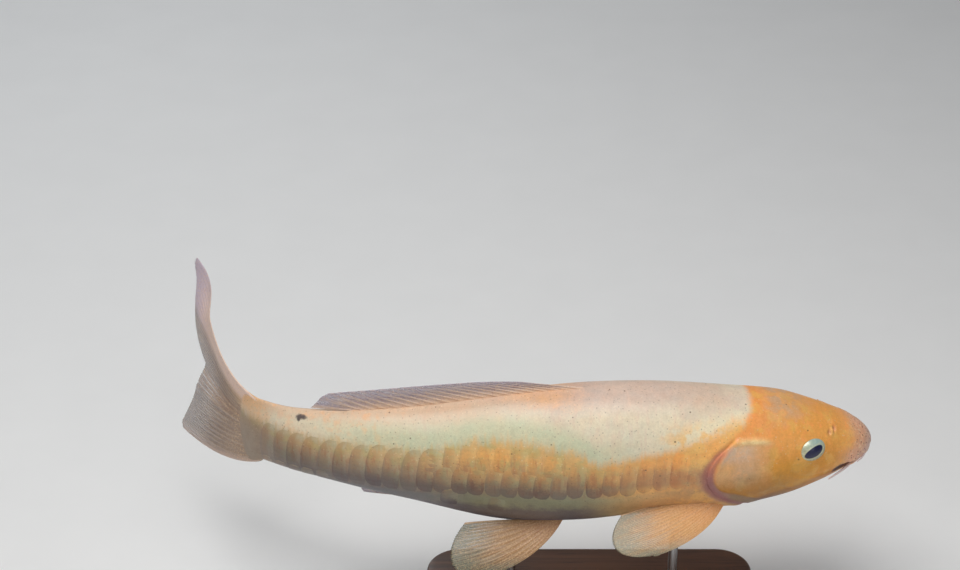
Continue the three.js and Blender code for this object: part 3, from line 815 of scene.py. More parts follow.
pairedFins = {
    "arm_fin": {"at": 0.25, "angle": -49, "root": (18, 12), "droop": 15, "lead": 34, "trail": 3, "bow": 27,
                "leadLength": 66, "middleLength": 90, "trailLength": 76, "sag": 5, "lift": 6, "rays": 18},
    "belly_fin": {"at": 0.503, "angle": -64, "root": (17, 1), "droop": 35, "lead": 36, "trail": 5, "bow": 25,
                  "leadLength": 62, "middleLength": 88, "trailLength": 72, "sag": 5, "lift": 11, "rays": 10},
}
pairedShape = {"sunk": 6, "base": 4.2, "stem": 1.6, "margin": 0.45, "crest": 0.45, "edge": 0.035,
               "ridge": 0.18, "wave": 0.8, "branch": 0.26}


def makePairedFin(node, side):
    fin = {**pairedFins[node], **pairedShape}
    distance = fin["at"] * body["length"]
    angle = math.radians(fin["angle"])
    straightRoot = bodyPoint(np.array(distance), np.array(angle), 0) * np.array([1, side, 1])
    root = bent(straightRoot)
    heading = float(headingAt(distance))
    back = np.array([-math.cos(heading), math.sin(heading), 0])
    droop = math.radians(fin["droop"])
    outwards = side * math.cos(droop) * np.array([-math.sin(heading), -math.cos(heading), 0])
    outwards = outwards - np.array([0, 0, math.sin(droop)])

    def point(across, out):
        leads = across < fin["crest"]
        inwards = np.where(leads, across / fin["crest"], (1 - across) / (1 - fin["crest"]))
        ends = np.where(leads, fin["leadLength"], fin["trailLength"])
        length = between(ends, fin["middleLength"], np.sin(np.clip(inwards, 0, 1) * math.pi / 2))
        along = between(-fin["sunk"], length, out)
        remaining = np.clip(1 - along / length, 0, 1)
        turn = np.radians(between(fin["lead"], fin["trail"], across) + fin["bow"] * (1 - across) * remaining)
        backwards = fin["root"][0] * across * remaining + along * np.cos(turn)
        passed = along / length
        rise = fin["root"][1] * across * remaining + fin["lift"] * across * passed - fin["sag"] * passed**2
        return (
            root
            + back * backwards[..., None]
            + outwards * (along * np.sin(turn))[..., None]
            + np.array([0, 0, 1.0]) * rise[..., None]
        )

    def thickness(across, out):
        broad = np.sin(math.pi * np.clip(across, 0.08, 0.92)) ** 0.5
        flesh = fin["base"] * (1 - smooth(out, 0.05, 0.26)) * broad
        return flesh + between(fin["stem"], fin["margin"], smooth(out, 0, 0.5))

    name = node.replace("_f", "F") + ("Right" if side > 0 else "Left")
    facing = (0, 0, 1)
    return finPiece(name, surfaceOf(point, facing), thickness, fin, fin["rays"] * 24, 56)


def makeTailFin():
    fin = {"rays": tailFin["rays"], "edge": 0.022, "ridge": 0.4, "wave": 0.0, "branch": 0.24}

    def height(across):  # from the lower edge ray to the upper one
        return 2 * across - 1

    def surface(across, out):
        return tailSurface(height(across), out)

    def thickness(across, out):
        h = height(across)
        root = between(1.8, 3.4, np.sqrt(np.maximum(1 - h**2, 0)))
        return between(root, 1.0, smooth(out, 0, 0.15)) - 0.65 * out

    return finPiece("tailFin", surface, thickness, fin, tailFin["rays"] * 28, 80)


# Eyes

eyeShape = {"gaze": (0.17, 0.95, 0.2), "pupil": (7.6, 3.9), "slant": 25, "segments": 72, "rings": 48,
            "shrink": 0.15}


def makeEye(name, sign):
    # a ball that is longer than it is tall, set in its socket; the gaze only turns what is painted on it
    middle = eyeMiddle(name)
    outwards, level, over = socketAxes(sign)
    clearSelection()
    radius = headShape["eyeRadius"] - eyeShape["shrink"]
    bpy.ops.mesh.primitive_uv_sphere_add(
        segments=eyeShape["segments"], ring_count=eyeShape["rings"], radius=radius
    )
    eye = bpy.context.object
    eye.name = eye.data.name = "eye" + name.capitalize()
    bpy.ops.object.shade_smooth()
    points = np.array([v.co for v in eye.data.vertices])
    long, tall = headShape["eyeOval"]
    points = points[:, :1] * level * long + points[:, 1:2] * over * tall + points[:, 2:] * outwards
    eye.data.vertices.foreach_set("co", ((points + middle) * mm).astype(np.float32).ravel())
    if np.linalg.det(np.array([level, over, outwards])) < 0:
        eye.data.flip_normals()
    heading = float(headingAt(headShape["eyeAt"]))
    ahead = np.array([math.cos(heading), -math.sin(heading), 0])
    right = np.array([-math.sin(heading), -math.cos(heading), 0])
    forward, outward, upward = eyeShape["gaze"]
    gaze = unit(ahead * forward + right * outward * sign + np.array([0, 0, upward]))
    level = unit(ahead - gaze * (ahead @ gaze))
    store(eye, "looks", np.stack([points @ gaze, points @ level, points @ np.cross(gaze, level) * sign], -1))
    return eye


# Feelers

feelers = {
    "long": {"route": [(20, 13, -9.5), (21.5, 18.9, -10), (28.5, 22.8, -12.6), (38.5, 25.8, -16.8)],
             "root": 1.5, "tip": 0.5},
    "short": {"route": [(8.5, 9, -4), (8.5, 14.2, -5), (11.5, 17.6, -6.3), (16, 20.4, -7.5)],
              "root": 1.1, "tip": 0.4},
}


def makeFeeler(kind, name, sign):
    shape = feelers[kind]
    line = bent(curveThrough(np.array(shape["route"]) * np.array([1, sign, 1]), 24))
    run = np.concatenate([[0], np.cumsum(np.linalg.norm(np.diff(line, axis=0), axis=1))])

    def place(u, v):
        at = np.stack([np.interp(v * run[-1], run, line[:, k]) for k in range(3)], -1)
        along = unit(np.gradient(at, axis=0))
        across = unit(np.cross(np.array([0, 0, 1.0]), along))
        over = np.cross(along, across)
        radius = between(shape["root"], shape["tip"], v**0.8) * (1 + 0.05 * np.sin(v * 90))
        radius = radius * np.sqrt(1 - smooth(v, 0.93, 1)) * (v > 0)
        turn = 2 * math.pi * u
        offset = across * np.cos(turn)[..., None] + over * np.sin(turn)[..., None]
        return at + offset * radius[..., None], {"web": np.stack([u, v, v], -1)}

    return closeUp(gridPiece(f"feeler{kind.capitalize()}{name.capitalize()}", 20, 60, place))


# Scales

scaleShape = {
    "count": 26,
    "first": 136,
    "pitch": 12,
    "length": 18.5,
    "upperLength": 17.5,
    "thick": 0.35,
    "grid": (8, 12),
    "slant": 0.12,
    "rearFrom": 300,  # from here to the tail the ends stay proud and show as round arcs
    "extra": [(300, -21, 9, 18, 0.2), (266, -24, 9, 18, 0.2)],
    "seed": 7,
}


def scaleSeats():
    # Where each scale sits on a flank: its front edge, middle height, half height, length and lift.
    rng = np.random.default_rng(scaleShape["seed"])
    seats = []
    length = scaleShape["length"]
    for k in range(scaleShape["count"]):
        d = scaleShape["first"] + scaleShape["pitch"] * k
        top, bottom = heightOn(marks["bandTop"], d + 8), heightOn(marks["bandBottom"], d + 8)
        double = bell(d, 262, 52) > 0.45
        wobble = rng.uniform(-1, 1, 6)
        if double:
            split = bottom + 0.52 * (top - bottom)
            upper = ((split + top) / 2 - 1.5, (top - split) / 2 + 4, scaleShape["upperLength"], 0.0)
            seats.append((d + 6 + 0.8 * wobble[0], *upper))
            taller = 3.2 + 1.3 * wobble[5]
            lower = ((bottom + split + taller - 3.5) / 2, (split - bottom + taller + 3.5) / 2, length, 0.35)
            seats.append((d + 0.8 * wobble[1], *lower))
        else:
            single = ((top + bottom) / 2 + wobble[3], (top - bottom) / 2 + 1.5, length, 0.2)
            seats.append((d + 0.8 * wobble[2], *single))
        if d > 380:
            seats.append((d + 5 + wobble[4], bottom + 3, 7, 15, 0.3))
    return seats + scaleShape["extra"]


def makeScales():
    # one plate, flat: x runs from its front edge to its rear one, y up it, and z is its thickness
    clearSelection()
    columns, rows = scaleShape["grid"]
    bpy.ops.mesh.primitive_grid_add(x_subdivisions=columns, y_subdivisions=rows, size=2)
    plate = bpy.context.object
    for vertex in plate.data.vertices:
        x, y = vertex.co.x / 2 + 0.5, vertex.co.y
        y = math.copysign(abs(y) ** 0.75 * 0.985, y)
        bulge = (1 - abs(y) ** 3) ** (1 / 2.8)
        start, end = 0.5 * (1 - bulge), 0.5 * (1 + bulge)
        vertex.co = (start + (end - start) * x, y, 0)
    solidify = plate.modifiers.new("thickness", "SOLIDIFY")
    solidify.thickness = 1
    solidify.offset = -1
    applyAll(plate)
    shape = np.array([v.co for v in plate.data.vertices])
    uvs = np.array([loop.vertex_index for loop in plate.data.loops])
    copies = []
    for side in (1, -1):
        for i, (d, up, half, length, lift) in enumerate(scaleSeats()):
            copy = plate.copy()
            copy.data = plate.data.copy()
            bpy.context.collection.objects.link(copy)
            x, y, z = shape.T
            distance = d + length * x - scaleShape["slant"] * half * y
            height = up + half * y
            rear = d >= scaleShape["rearFrom"]
            grow = -body["depth"] - 0.45 + 0.5 * smooth(x, 0.02, 0.4) + (0.1 + 0.35 * lift) * x
            ends = 0.05 if rear else 0.16 + 0.14 * (y > 0)
            grow = grow - ends * np.abs(y) ** 4
            upperEnd = 0.3 if lift == 0 else 0.02 if rear else 0.15
            grow = grow - upperEnd * smooth(y, 0.2, 1)
            grow = grow + scaleShape["thick"] * z
            straight = flankPoint(distance, height, side, grow)
            copy.data.vertices.foreach_set("co", (bent(straight) * mm).astype(np.float32).ravel())
            for key, value in markings(straight).items():
                store(copy, key, value)
            store(copy, "plate", np.stack([x, y, np.full_like(x, (i * 0.618 + side) % 1)], -1))
            turn = math.atan2(straight[0, 2], straight[0, 1]) / (2 * math.pi) % 1
            home = np.array([turn, d / body["length"]])
            patch = home + (np.stack([x - 0.5, y / 2], -1)) * 0.003
            layer = copy.data.uv_layers[0]
            layer.name = "OFBake"
            layer.data.foreach_set("uv", patch[uvs].astype(np.float32).ravel())
            if side < 0:
                copy.data.flip_normals()
            copies.append(copy)
    bpy.data.objects.remove(plate)
    clearSelection()
    for copy in copies:
        copy.select_set(True)
    bpy.context.view_layer.objects.active = copies[0]
    bpy.ops.object.join()
    scales = bpy.context.object
    scales.name = scales.data.name = "scales"
    bpy.ops.object.shade_smooth_by_angle(angle=math.radians(50))
    return scales


# Paints

tones = {
    "cream": linear(236, 224, 198),
    "rose": linear(216, 192, 177),
    "blush": linear(216, 186, 166),
    "peach": linear(208, 170, 140),
    "jade": linear(208, 213, 180),
    "gold": linear(234, 186, 114),
    "amber": linear(244, 176, 102),
    "olive": linear(206, 186, 122),
    "straw": linear(210, 186, 140),
    "rust": linear(204, 134, 84),
    "bellyFront": linear(216, 168, 116),
    "bellyMiddle": linear(204, 190, 124),
    "bellyRear": linear(186, 168, 134),
    # purple-grey, partly the belly's own tone and partly painted shade
    "plumShade": linear(142, 114, 112),
    "head": linear(245, 173, 88),
    "salmon": linear(250, 158, 88),
    "honey": linear(248, 190, 98),
    "crown": linear(210, 172, 136),
    "cheek": linear(234, 158, 44),
    "ochre": linear(224, 160, 52),
    "cover": linear(228, 186, 144),
    "coverHigh": linear(222, 194, 170),
    "coverLow": linear(240, 184, 122),
    "moss": linear(190, 166, 120),
    # a pale tone for the painted highlight along the gill cover's ridge
    "ridge": linear(255, 226, 166),
    "lip": linear(240, 184, 154),
    # a near black for the painted shade in the mouth's gap
    "mouth": linear(66, 36, 36),
    "membrane": linear(170, 128, 118),
    "slit": linear(214, 130, 112),
    "slitLow": linear(160, 102, 104),
    "throat": linear(170, 130, 110),
    "freckle": linear(96, 58, 40),
    "soot": linear(62, 52, 60),
    "tail": linear(232, 186, 138),
}


class BodyPlaces:
    # Where a point of the body lies, how far it is from each border, and the patterns that fray the borders.
    def __init__(self, p):
        self.where = p.stored("where", 1)
        self.d, self.right, self.up = p.split(self.where)
        self.napeSide, self.underTop, self.overBottom = p.split(p.stored("zone", 1))
        self.behindGill, self.bone, self.lip = p.split(p.stored("spot", 1))
        self.ridge, self.mouth, self.pits = p.split(p.stored("fine", 1))
        self.broad = p.noise(self.where, 0.045, 2)
        self.patch = p.noise(p.moved(self.where, by=(11, 5, 60)), 0.1, 2)
        self.middle = p.noise(self.where, 0.16, 3)
        self.fine = p.noise(self.where, 0.7, 3)
        self.streaks = p.noise(p.moved(self.where, scale=(0.34, 0.1, 0.07)), 1, 3)  # run down the flank
        self.ragged = (self.middle - 0.5) * 12 + (self.fine - 0.5) * 5
        self.front = p.eased(self.lip + self.ragged * 0.5, 8, -2) * p.eased(self.d, 30, 20)
        self.warts = self.front * p.eased(p.cells(self.where, 0.38), 0.44, 0.2)


def backColor(p, at):
    # cream and pale green, with a duller rear and the orange foot of the back fin
    d, up, underTop, broad, patch, middle = at.d, at.up, at.underTop, at.broad, at.patch, at.middle
    streaks, ragged = at.streaks, at.ragged
    color = p.mix(p.eased(up, 46, 57), tones["cream"], tones["rose"])
    color = p.mix(p.eased(broad + (up - 44) * 0.01, 0.52, 0.72) * 0.45, color, tones["rose"])
    color = p.mix(p.eased(streaks + (middle - 0.5) * 0.4, 0.5, 0.66) * 0.3, color, tones["blush"])
    jade = p.eased(underTop + ragged * 0.6, -20, -7) * p.span(d, 165, 215, 350, 430)
    color = p.mix(jade * (0.55 + patch * 0.5), color, tones["jade"])
    # a duller saddle behind the head, the rear of the back, and the foot of its fin
    saddle = p.eased(up + ragged * 0.4, 40, 50) * p.span(d, 104, 118, 128, 150)
    color = p.mix(saddle * 0.5, color, tones["blush"])
    rear = p.eased(up + (d - 300) * 0.12 + ragged * 0.5, 36, 46) * p.eased(d + ragged, 225, 320)
    color = p.mix(rear * 0.8, color, tones["peach"])
    dabs = p.eased(middle, 0.5, 0.72) * p.eased(d, 325, 365) * p.eased(up, 12, 18)
    color = p.mix(dabs * 0.28, color, tones["amber"])
    upper = p.eased(up, 42, 52) * p.eased(d, 190, 230)
    color = p.tinted(upper, color, (0.9, 0.87, 0.9, 1))
    foot = p.eased(up + ragged * 0.5, 47, 54) * p.eased(d + ragged * 2, 205, 240) * p.eased(d, 320, 240)
    return p.mix(foot * (0.1 + patch * 0.7), color, tones["amber"])


def bandColor(p, at, color):
    # the flank's band, deeper towards the head and at its middle
    d, underTop, broad, patch, streaks, ragged = at.d, at.underTop, at.broad, at.patch, at.streaks, at.ragged
    fringe = underTop + (ragged * 0.55 + (streaks - 0.5) * 14) * (0.45 + p.eased(d, 150, 215) * 0.55)
    band = p.eased(fringe, -5.5, 5)
    warm = p.mix(p.eased(d, 230, 140), tones["gold"], tones["amber"])
    warm = p.mix(p.eased(broad, 0.35, 0.65) * 0.4, warm, tones["gold"])
    warm = p.mix(p.eased(d + ragged, 285, 360) * 0.75, warm, tones["straw"])
    warm = p.mix(p.eased(underTop + ragged * 0.5, 14, 3) * p.eased(d, 200, 235) * 0.4, warm, tones["straw"])
    warm = p.mix(p.eased(patch, 0.46, 0.62) * p.eased(d, 170, 220) * 0.6, warm, tones["olive"])
    warm = p.mix(p.eased(streaks, 0.5, 0.64) * p.eased(underTop, 2, 12) * 0.45, warm, tones["rust"])
    return p.mix(band, color, warm)


def bellyColor(p, at, color):
    # the belly, purple-grey lower down and much darker at its bottom as painted shade, and gold patches on
    # the shoulder
    d, up, overBottom, broad, middle, ragged = at.d, at.up, at.overBottom, at.broad, at.middle, at.ragged
    belly = p.mix(p.eased(d, 165, 235), tones["bellyFront"], tones["bellyMiddle"])
    belly = p.mix(p.eased(d, 280, 340), belly, tones["bellyRear"])
    # purple-grey low on the belly: partly its own tone, partly painted shade
    plumShade = p.eased(overBottom + ragged * 0.9, -9, -19) * p.eased(d, 185, 220)
    belly = p.mix(plumShade * 0.7, belly, tones["plumShade"])
    # painted shade, much darker along the belly's bottom
    belly = p.mix(p.eased(up, -36, -46) * p.eased(d, 175, 215) * 0.75, belly, (0.20, 0.17, 0.15, 1))
    color = p.mix(p.eased(overBottom + ragged * 0.4, 3, -5), color, belly)
    shoulder = p.eased(middle + broad * 0.5, 0.7, 0.86) * p.eased(d, 172, 145) * p.eased(up, 46, 32)
    return p.mix(shoulder * 0.7, color, tones["gold"])


def shadedColor(p, at, color):
    # painted shade, duller and greyer downwards and most of all towards the tail
    d, up, ragged = at.d, at.up, at.ragged
    # painted shade low on the flank, from the shoulder back
    lowShade = p.eased(up + ragged * 0.3, 19, -9) * p.eased(d, 165, 225)
    color = p.tinted(lowShade * 0.93, color, (0.38, 0.43, 0.66, 1))
    # deeper painted shade low on the rear of the body
    rearShade = p.eased(up + ragged * 0.3, 4, -18) * p.eased(d, 290, 380)
    color = p.tinted(rearShade * 0.65, color, (0.44, 0.5, 0.74, 1))
    # painted shade in a band along the flank behind the gill cover
    shade = p.eased(up + ragged * 0.3, 15, 5) * p.eased(up + ragged * 0.2, -10, -2) * p.eased(d, 200, 160)
    color = p.tinted(shade * 0.8, color, (0.64, 0.68, 1.0, 1))
    stripe = p.eased(up + ragged * 0.2, -2, -7) * p.eased(up, -24, -14) * p.span(d, 145, 170, 220, 270)
    color = p.tinted(stripe, color, (1.14, 1.25, 1.32, 1))
    bright = p.span(up, 8, 18, 38, 48) * p.eased(d, 175, 140)
    color = p.tinted(bright, color, (1.13, 1.13, 1.06, 1))
    # painted shade on the lower part of the tail's stalk
    paintedShade = p.eased(up + ragged * 0.3, 26, 2) * p.eased(d, 380, 440)
    return p.tinted(paintedShade * 0.8, color, (0.8, 0.72, 0.7, 1))


def coverColor(p, at):
    # the plate of the gill cover
    d, up, middle, ragged = at.d, at.up, at.middle, at.ragged
    plate = p.mix(p.eased(up + ragged * 0.6, 9, 19) * p.eased(d, 92, 105), tones["cover"], tones["coverHigh"])
    plate = p.mix(p.eased(d + ragged * 0.6, 105, 115) * p.eased(up, 16, 8) * 0.8, plate, tones["coverLow"])
    moss = p.eased(up + ragged * 0.5, 6, -2) * p.eased(d, 84, 92) * p.eased(d + ragged, 112, 103)
    plate = p.mix(moss * 0.6, plate, tones["moss"])
    return p.mix(p.eased(middle, 0.5, 0.64) * 0.35, plate, tones["coverLow"])


def headColor(p, at):
    # salmon towards the nape, dull patches on the crown, gold on the cheek, painted shade under the head, the
    # jaw and the throat, and a painted highlight along the gill cover's ridge
    d, up, napeSide, bone, lip, ridge = at.d, at.up, at.napeSide, at.bone, at.lip, at.ridge
    patch, middle, fine, ragged = at.patch, at.middle, at.fine, at.ragged
    face = p.mix(p.eased(up + ragged * 0.6, 22, 2) * p.eased(d, 24, 44), tones["head"], tones["cheek"])
    face = p.mix(p.eased(napeSide + ragged, 30, 6) * p.eased(up, 22, 30) * 0.55, face, tones["salmon"])
    face = p.mix(p.eased(patch, 0.5, 0.64) * 0.55, face, tones["honey"])
    face = p.mix(p.eased(middle, 0.52, 0.66) * p.eased(up, 10, 24) * 0.4, face, tones["salmon"])
    crown = p.eased(up + ragged * 0.8, 31, 42) * p.eased(napeSide + ragged, 4, 20)
    face = p.mix(crown * (0.35 + p.eased(patch, 0.56, 0.4) * 0.55), face, tones["crown"])
    ochre = p.eased(d + ragged, 46, 56) * p.eased(d, 88, 76) * p.eased(up + ragged * 0.4, 12, 4)
    face = p.mix(ochre * 0.6, face, tones["ochre"])
    face = p.mix(p.eased(lip + ragged, 16, 0) * p.eased(d, 40, 24) * 0.4, face, tones["lip"])
    plate = coverColor(p, at)
    cover = p.eased(bone + ragged * 0.1, 1.6, -1.6) * p.eased(d + ragged * 0.9, 78, 101) * p.eased(up, 28, 23)
    face = p.mix(cover * p.eased(up + ragged * 0.6, -14, 2) * 0.85, face, plate)
    # painted shade under the head
    low = p.eased(up + ragged * 0.3, 8, -16) * p.eased(d, 50, 85)
    face = p.tinted(low * 0.8, face, (0.52, 0.54, 0.72, 1))
    # painted shade along the lower edge of the jaw
    jaw = p.eased(up + (d - 20) * 0.3, -0.5, -7) * p.eased(d, 24, 34)
    face = p.tinted(jaw * 0.8, face, (0.56, 0.48, 0.72, 1))
    # the throat's tone darkened as painted shade
    throat = [tone * paintedShade for tone, paintedShade in zip(tones["throat"], (0.5, 0.48, 0.55, 1))]
    face = p.mix(p.eased(up, -22, -34), face, throat)
    # a painted highlight along the gill cover's ridge
    return p.mix(ridge * (0.6 + fine * 0.6), face, tones["ridge"])


def mouthColor(p, at, color):
    # lips with warts and pocks, painted shade in the mouth's gap, and the nostrils
    color = p.mix(at.front * 0.8, color, tones["lip"])
    color = p.mix(p.eased(at.lip + at.ragged * 0.3, -3, -10) * 0.5, color, linear(206, 176, 172))
    color = p.mix(at.warts * 0.85, color, linear(255, 216, 176))
    pocks = p.eased(p.cells(p.moved(at.where, by=(40, 9, 3)), 0.4), 0.34, 0.14)
    color = p.mix(at.front * pocks * 0.8, color, linear(150, 78, 58))
    # painted shade in the mouth's gap and along its corner
    mouthShade = p.eased(at.mouth + (at.fine - 0.5) * 3, 2.2, -0.6) * p.eased(at.d, 39, 33)
    color = p.mix(mouthShade * 0.9, color, tones["mouth"])
    return p.mix(at.pits * 0.7, color, linear(200, 138, 112))


def gillColor(p, at, color):
    # the membrane behind the gill cover's bone edge, and the slit behind it
    d, up, behindGill, bone, ragged = at.d, at.up, at.behindGill, at.bone, at.ragged
    membrane = p.eased(bone, -0.6, 2.2) * p.eased(behindGill, 1.5, -0.5)
    membrane = membrane * p.eased(up, 12, 0) * p.eased(d, 84, 96)
    hood = p.mix(p.eased(d + ragged * 0.4, 108, 118), linear(148, 120, 92), tones["membrane"])
    color = p.mix(membrane * 0.85, color, hood)
    slit = p.span(behindGill + ragged * 0.15, -8, -2, 0.8, 6) * p.eased(up, 29, 18)
    gill = p.mix(p.eased(up, 12, -6), tones["slit"], tones["slitLow"])
    color = p.mix(slit * 0.75, color, gill)
    flush = p.span(behindGill, -7, -1, 2, 9) * p.span(up, -34, -20, 2, 20)
    return p.mix(flush * 0.4, color, tones["slitLow"])


def tailRootColor(p, at, color):
    # the rays' flesh at the root of the tail fin, with painted shade on its lower part
    d, up, fine, ragged = at.d, at.up, at.fine, at.ragged
    root = p.eased(d + (fine - 0.5) * 14 - up * 0.25 + ragged * 0.5, 432, 466)
    color = p.mix(root * p.eased(up, 6, 22), color, tones["tail"])
    # darker below: partly the flesh's colour, partly painted shade
    return p.mix(root * p.eased(up, 14, -2) * 0.85, color, linear(166, 144, 122))


def freckledColor(p, at, color):
    # freckles, and the black blotch on the right of the stalk
    where, d, right, up, napeSide, fine = at.where, at.d, at.right, at.up, at.napeSide, at.fine
    dots = p.cells(where, 0.13)
    seat = p.cells(where, 0.13, 2)
    chance = p.node("ShaderNodeTexWhiteNoise", {"noise_dimensions": "3D"}, {"Vector": seat})
    freckle = p.eased(dots, 0.11, 0.06) * p.eased(chance, 0.45, 0.7) * p.eased(up, -14, 8)
    specks = p.eased(p.cells(where, 0.34), 0.25, 0.1) * p.eased(fine, 0.4, 0.58)
    specks = specks * (0.12 + p.eased(napeSide, 6, -4) * 0.3)
    color = p.mix(freckle * 0.7 + specks, color, tones["freckle"])
    pale = p.eased(p.cells(p.moved(where, by=(7, 31, 17)), 0.32), 0.24, 0.08) * p.eased(fine, 0.6, 0.42)
    color = p.mix(pale * 0.4 * p.eased(up, -10, 15), color, linear(255, 236, 200))
    ovals = []
    for atD, atUp, long, tall, slope in marks["blotch"]:
        along, over = (d - atD) / long, (up - atUp + (d - atD) * slope) / tall
        ovals.append(along * along + over * over)
    blotch = p.math("MINIMUM", *ovals) + (fine - 0.5) * 1.6
    soot = p.eased(blotch, 1.6, 0.3) * p.math("GREATER_THAN", right, 0)
    return p.mix(soot * 0.9, color, tones["soot"])


def mottledColor(p, at, color):
    # lighter and darker, then warmer and cooler
    mottle = (at.fine - 0.5) * 1.1 + (at.middle - 0.5) * 1.0 + (at.streaks - 0.5) * 0.6 + 0.5
    color = p.tinted(1.0, color, p.mix(mottle, (0.86, 0.84, 0.82, 1), (1.12, 1.13, 1.14, 1)))
    return p.tinted(1.0, color, p.mix(at.patch, (1.06, 0.97, 0.9, 1), (0.95, 1.02, 1.06, 1)))


def koiColor(p):
    # The colours over the body, from the places and borders kept on the mesh.
    at = BodyPlaces(p)
    color = backColor(p, at)
    for over in (bandColor, bellyColor, shadedColor):
        color = over(p, at, color)
    color = p.mix(p.eased(at.napeSide + at.ragged * 0.4, -3.5, 3), color, headColor(p, at))
    for over in (mouthColor, gillColor, tailRootColor, freckledColor, mottledColor):
        color = over(p, at, color)
    return color, at


def skinPaint():
    p = Paint("koiSkin")
    color, at = koiColor(p)
    grain = p.noise(at.where, 1.6, 3)
    pores = p.eased(p.cells(at.where, 0.9), 0.0, 0.5)
    bump = p.raised(grain * 0.6 + pores * 0.4 + at.middle * 0.8 + at.warts * 0.7, 0.00022)
    rough = 0.36 + at.fine * 0.2
    return p.finish(Base_Color=color, Roughness=rough, Normal=bump, Coat_Weight=0.16, Coat_Roughness=0.22)


def scalePaint():
    # each scale is paler towards its root and orange-brown along its free end, both partly painted light and
    # shade, with painted shade at its lower corner, along its edges and along the top edge of the rear
    # scales, and painted light along its top
    p = Paint("koiScale")
    color, at = koiColor(p)
    x, y, chance = p.split(p.stored("plate", 1))
    wander = (at.fine - 0.5) * 0.5 + (at.middle - 0.5) * 0.6
    near = p.eased(at.overBottom, 18, 4) * p.eased(at.d, 150, 220)
    clear = p.eased(at.overBottom, 12, 24) * p.eased(at.d, 330, 290)
    faint = 1 - p.math("MAXIMUM", clear * 0.85, p.eased(at.d, 215, 150) * 0.6)
    # a darker copy of the colour, for painted shade
    scaleShade = p.tinted(1.0, color, (0.49, 0.43, 0.57, 1))
    # orange-brown for the free end: partly the scale's own colour, partly painted shade
    rust = p.mix(clear, (0.86, 0.66, 0.56, 1), (1.02, 0.86, 0.70, 1))
    rust = p.tinted(1.0, color, rust)
    # paler towards the root: partly the scale's own tone, partly painted light
    pale = p.tinted(1.0, color, (1.10, 1.16, 1.20, 1))
    color = p.mix(p.eased(x + wander * 0.5, 0.66, 0.42) * 0.6, color, pale)
    streak = p.eased(x + wander, 0.5, 0.74) * p.eased(x, 1.04, 0.86)
    color = p.mix(streak * (0.35 + chance * 0.55), color, rust)
    # painted shade over the lower corner
    lobe = p.eased(y + wander - x * 0.3, 0.0, -0.75)
    color = p.mix(lobe * (0.2 + near * 0.8), color, scaleShade)
    # painted shade along the edges between the scales
    away = p.math("ABSOLUTE", y)
    edge = p.math("MAXIMUM", p.eased(x + wander * 0.2, 0.86, 1.0), p.eased(away + x * 0.2, 0.95, 1.15))
    color = p.mix(edge * faint * 0.5, color, scaleShade)
    # painted shade along the top edge of the rear scales
    crest = p.eased(y - x * 0.1, 0.6, 0.86) * p.eased(at.d, 285, 320)
    color = p.tinted(crest * 0.65, color, (0.56, 0.64, 0.66, 1))
    # painted light, paler towards the top, and a random paler tone
    color = p.mix(p.eased(y, 0.7, 1.0) * 0.3 + chance * 0.1, color, linear(240, 214, 160))
    lively = p.mix(chance, (1.05, 0.98, 0.9, 1), (0.94, 0.98, 1.04, 1))
    color = p.tinted(1.0, color, lively)
    furrows = p.math("SINE", y * 30 + at.fine * 3) * 0.5 + 0.5
    bump = p.raised(furrows * 0.3 + at.fine * 0.7 + at.middle * 0.6, 0.00016)
    return p.finish(
        Base_Color=color,
        Roughness=0.3 + at.fine * 0.2,
        Normal=bump,
        Coat_Weight=0.25,
        Coat_Roughness=0.12,
    )


finTones = {
    "arm": {
        "root": linear(240, 176, 118),
        "middle": linear(226, 172, 112),
        "margin": linear(178, 174, 150),
        "rim": linear(240, 206, 166),
        "rimWidth": 0.03,
        "web": (0.84, 0.84, 0.82, 1),
        "webStart": 0.5,
        "clear": 0.6,
    },
    "belly": {
        "root": linear(196, 146, 104),
        "middle": linear(182, 140, 94),
        "margin": linear(138, 140, 120),
        "rim": linear(214, 176, 132),
        "rimWidth": 0.03,
        "web": (0.78, 0.80, 0.80, 1),
        "webStart": 0.4,
        "clear": 0.6,
    },
    "mid": {
        "root": linear(230, 188, 154),
        "middle": linear(232, 208, 190),
        "margin": linear(198, 186, 196),
        "rim": linear(226, 202, 190),
        "rimWidth": 0.03,
        "web": (0.54, 0.51, 0.66, 1),
        "webStart": 0.15,
        "clear": 0.55,
    },
    "tail": {
        # the darker brown at the root is partly painted shade
        "root": linear(166, 140, 118),
        "middle": linear(172, 148, 130),
        "margin": linear(168, 156, 152),
        "rim": linear(236, 208, 194),
        "rimWidth": 0.2,
        "web": (0.64, 0.58, 0.58, 1),
        "webStart": 0.15,
        "clear": 0.7,
        "leaf": linear(204, 190, 206),
        "high": linear(234, 190, 144),
    },
}


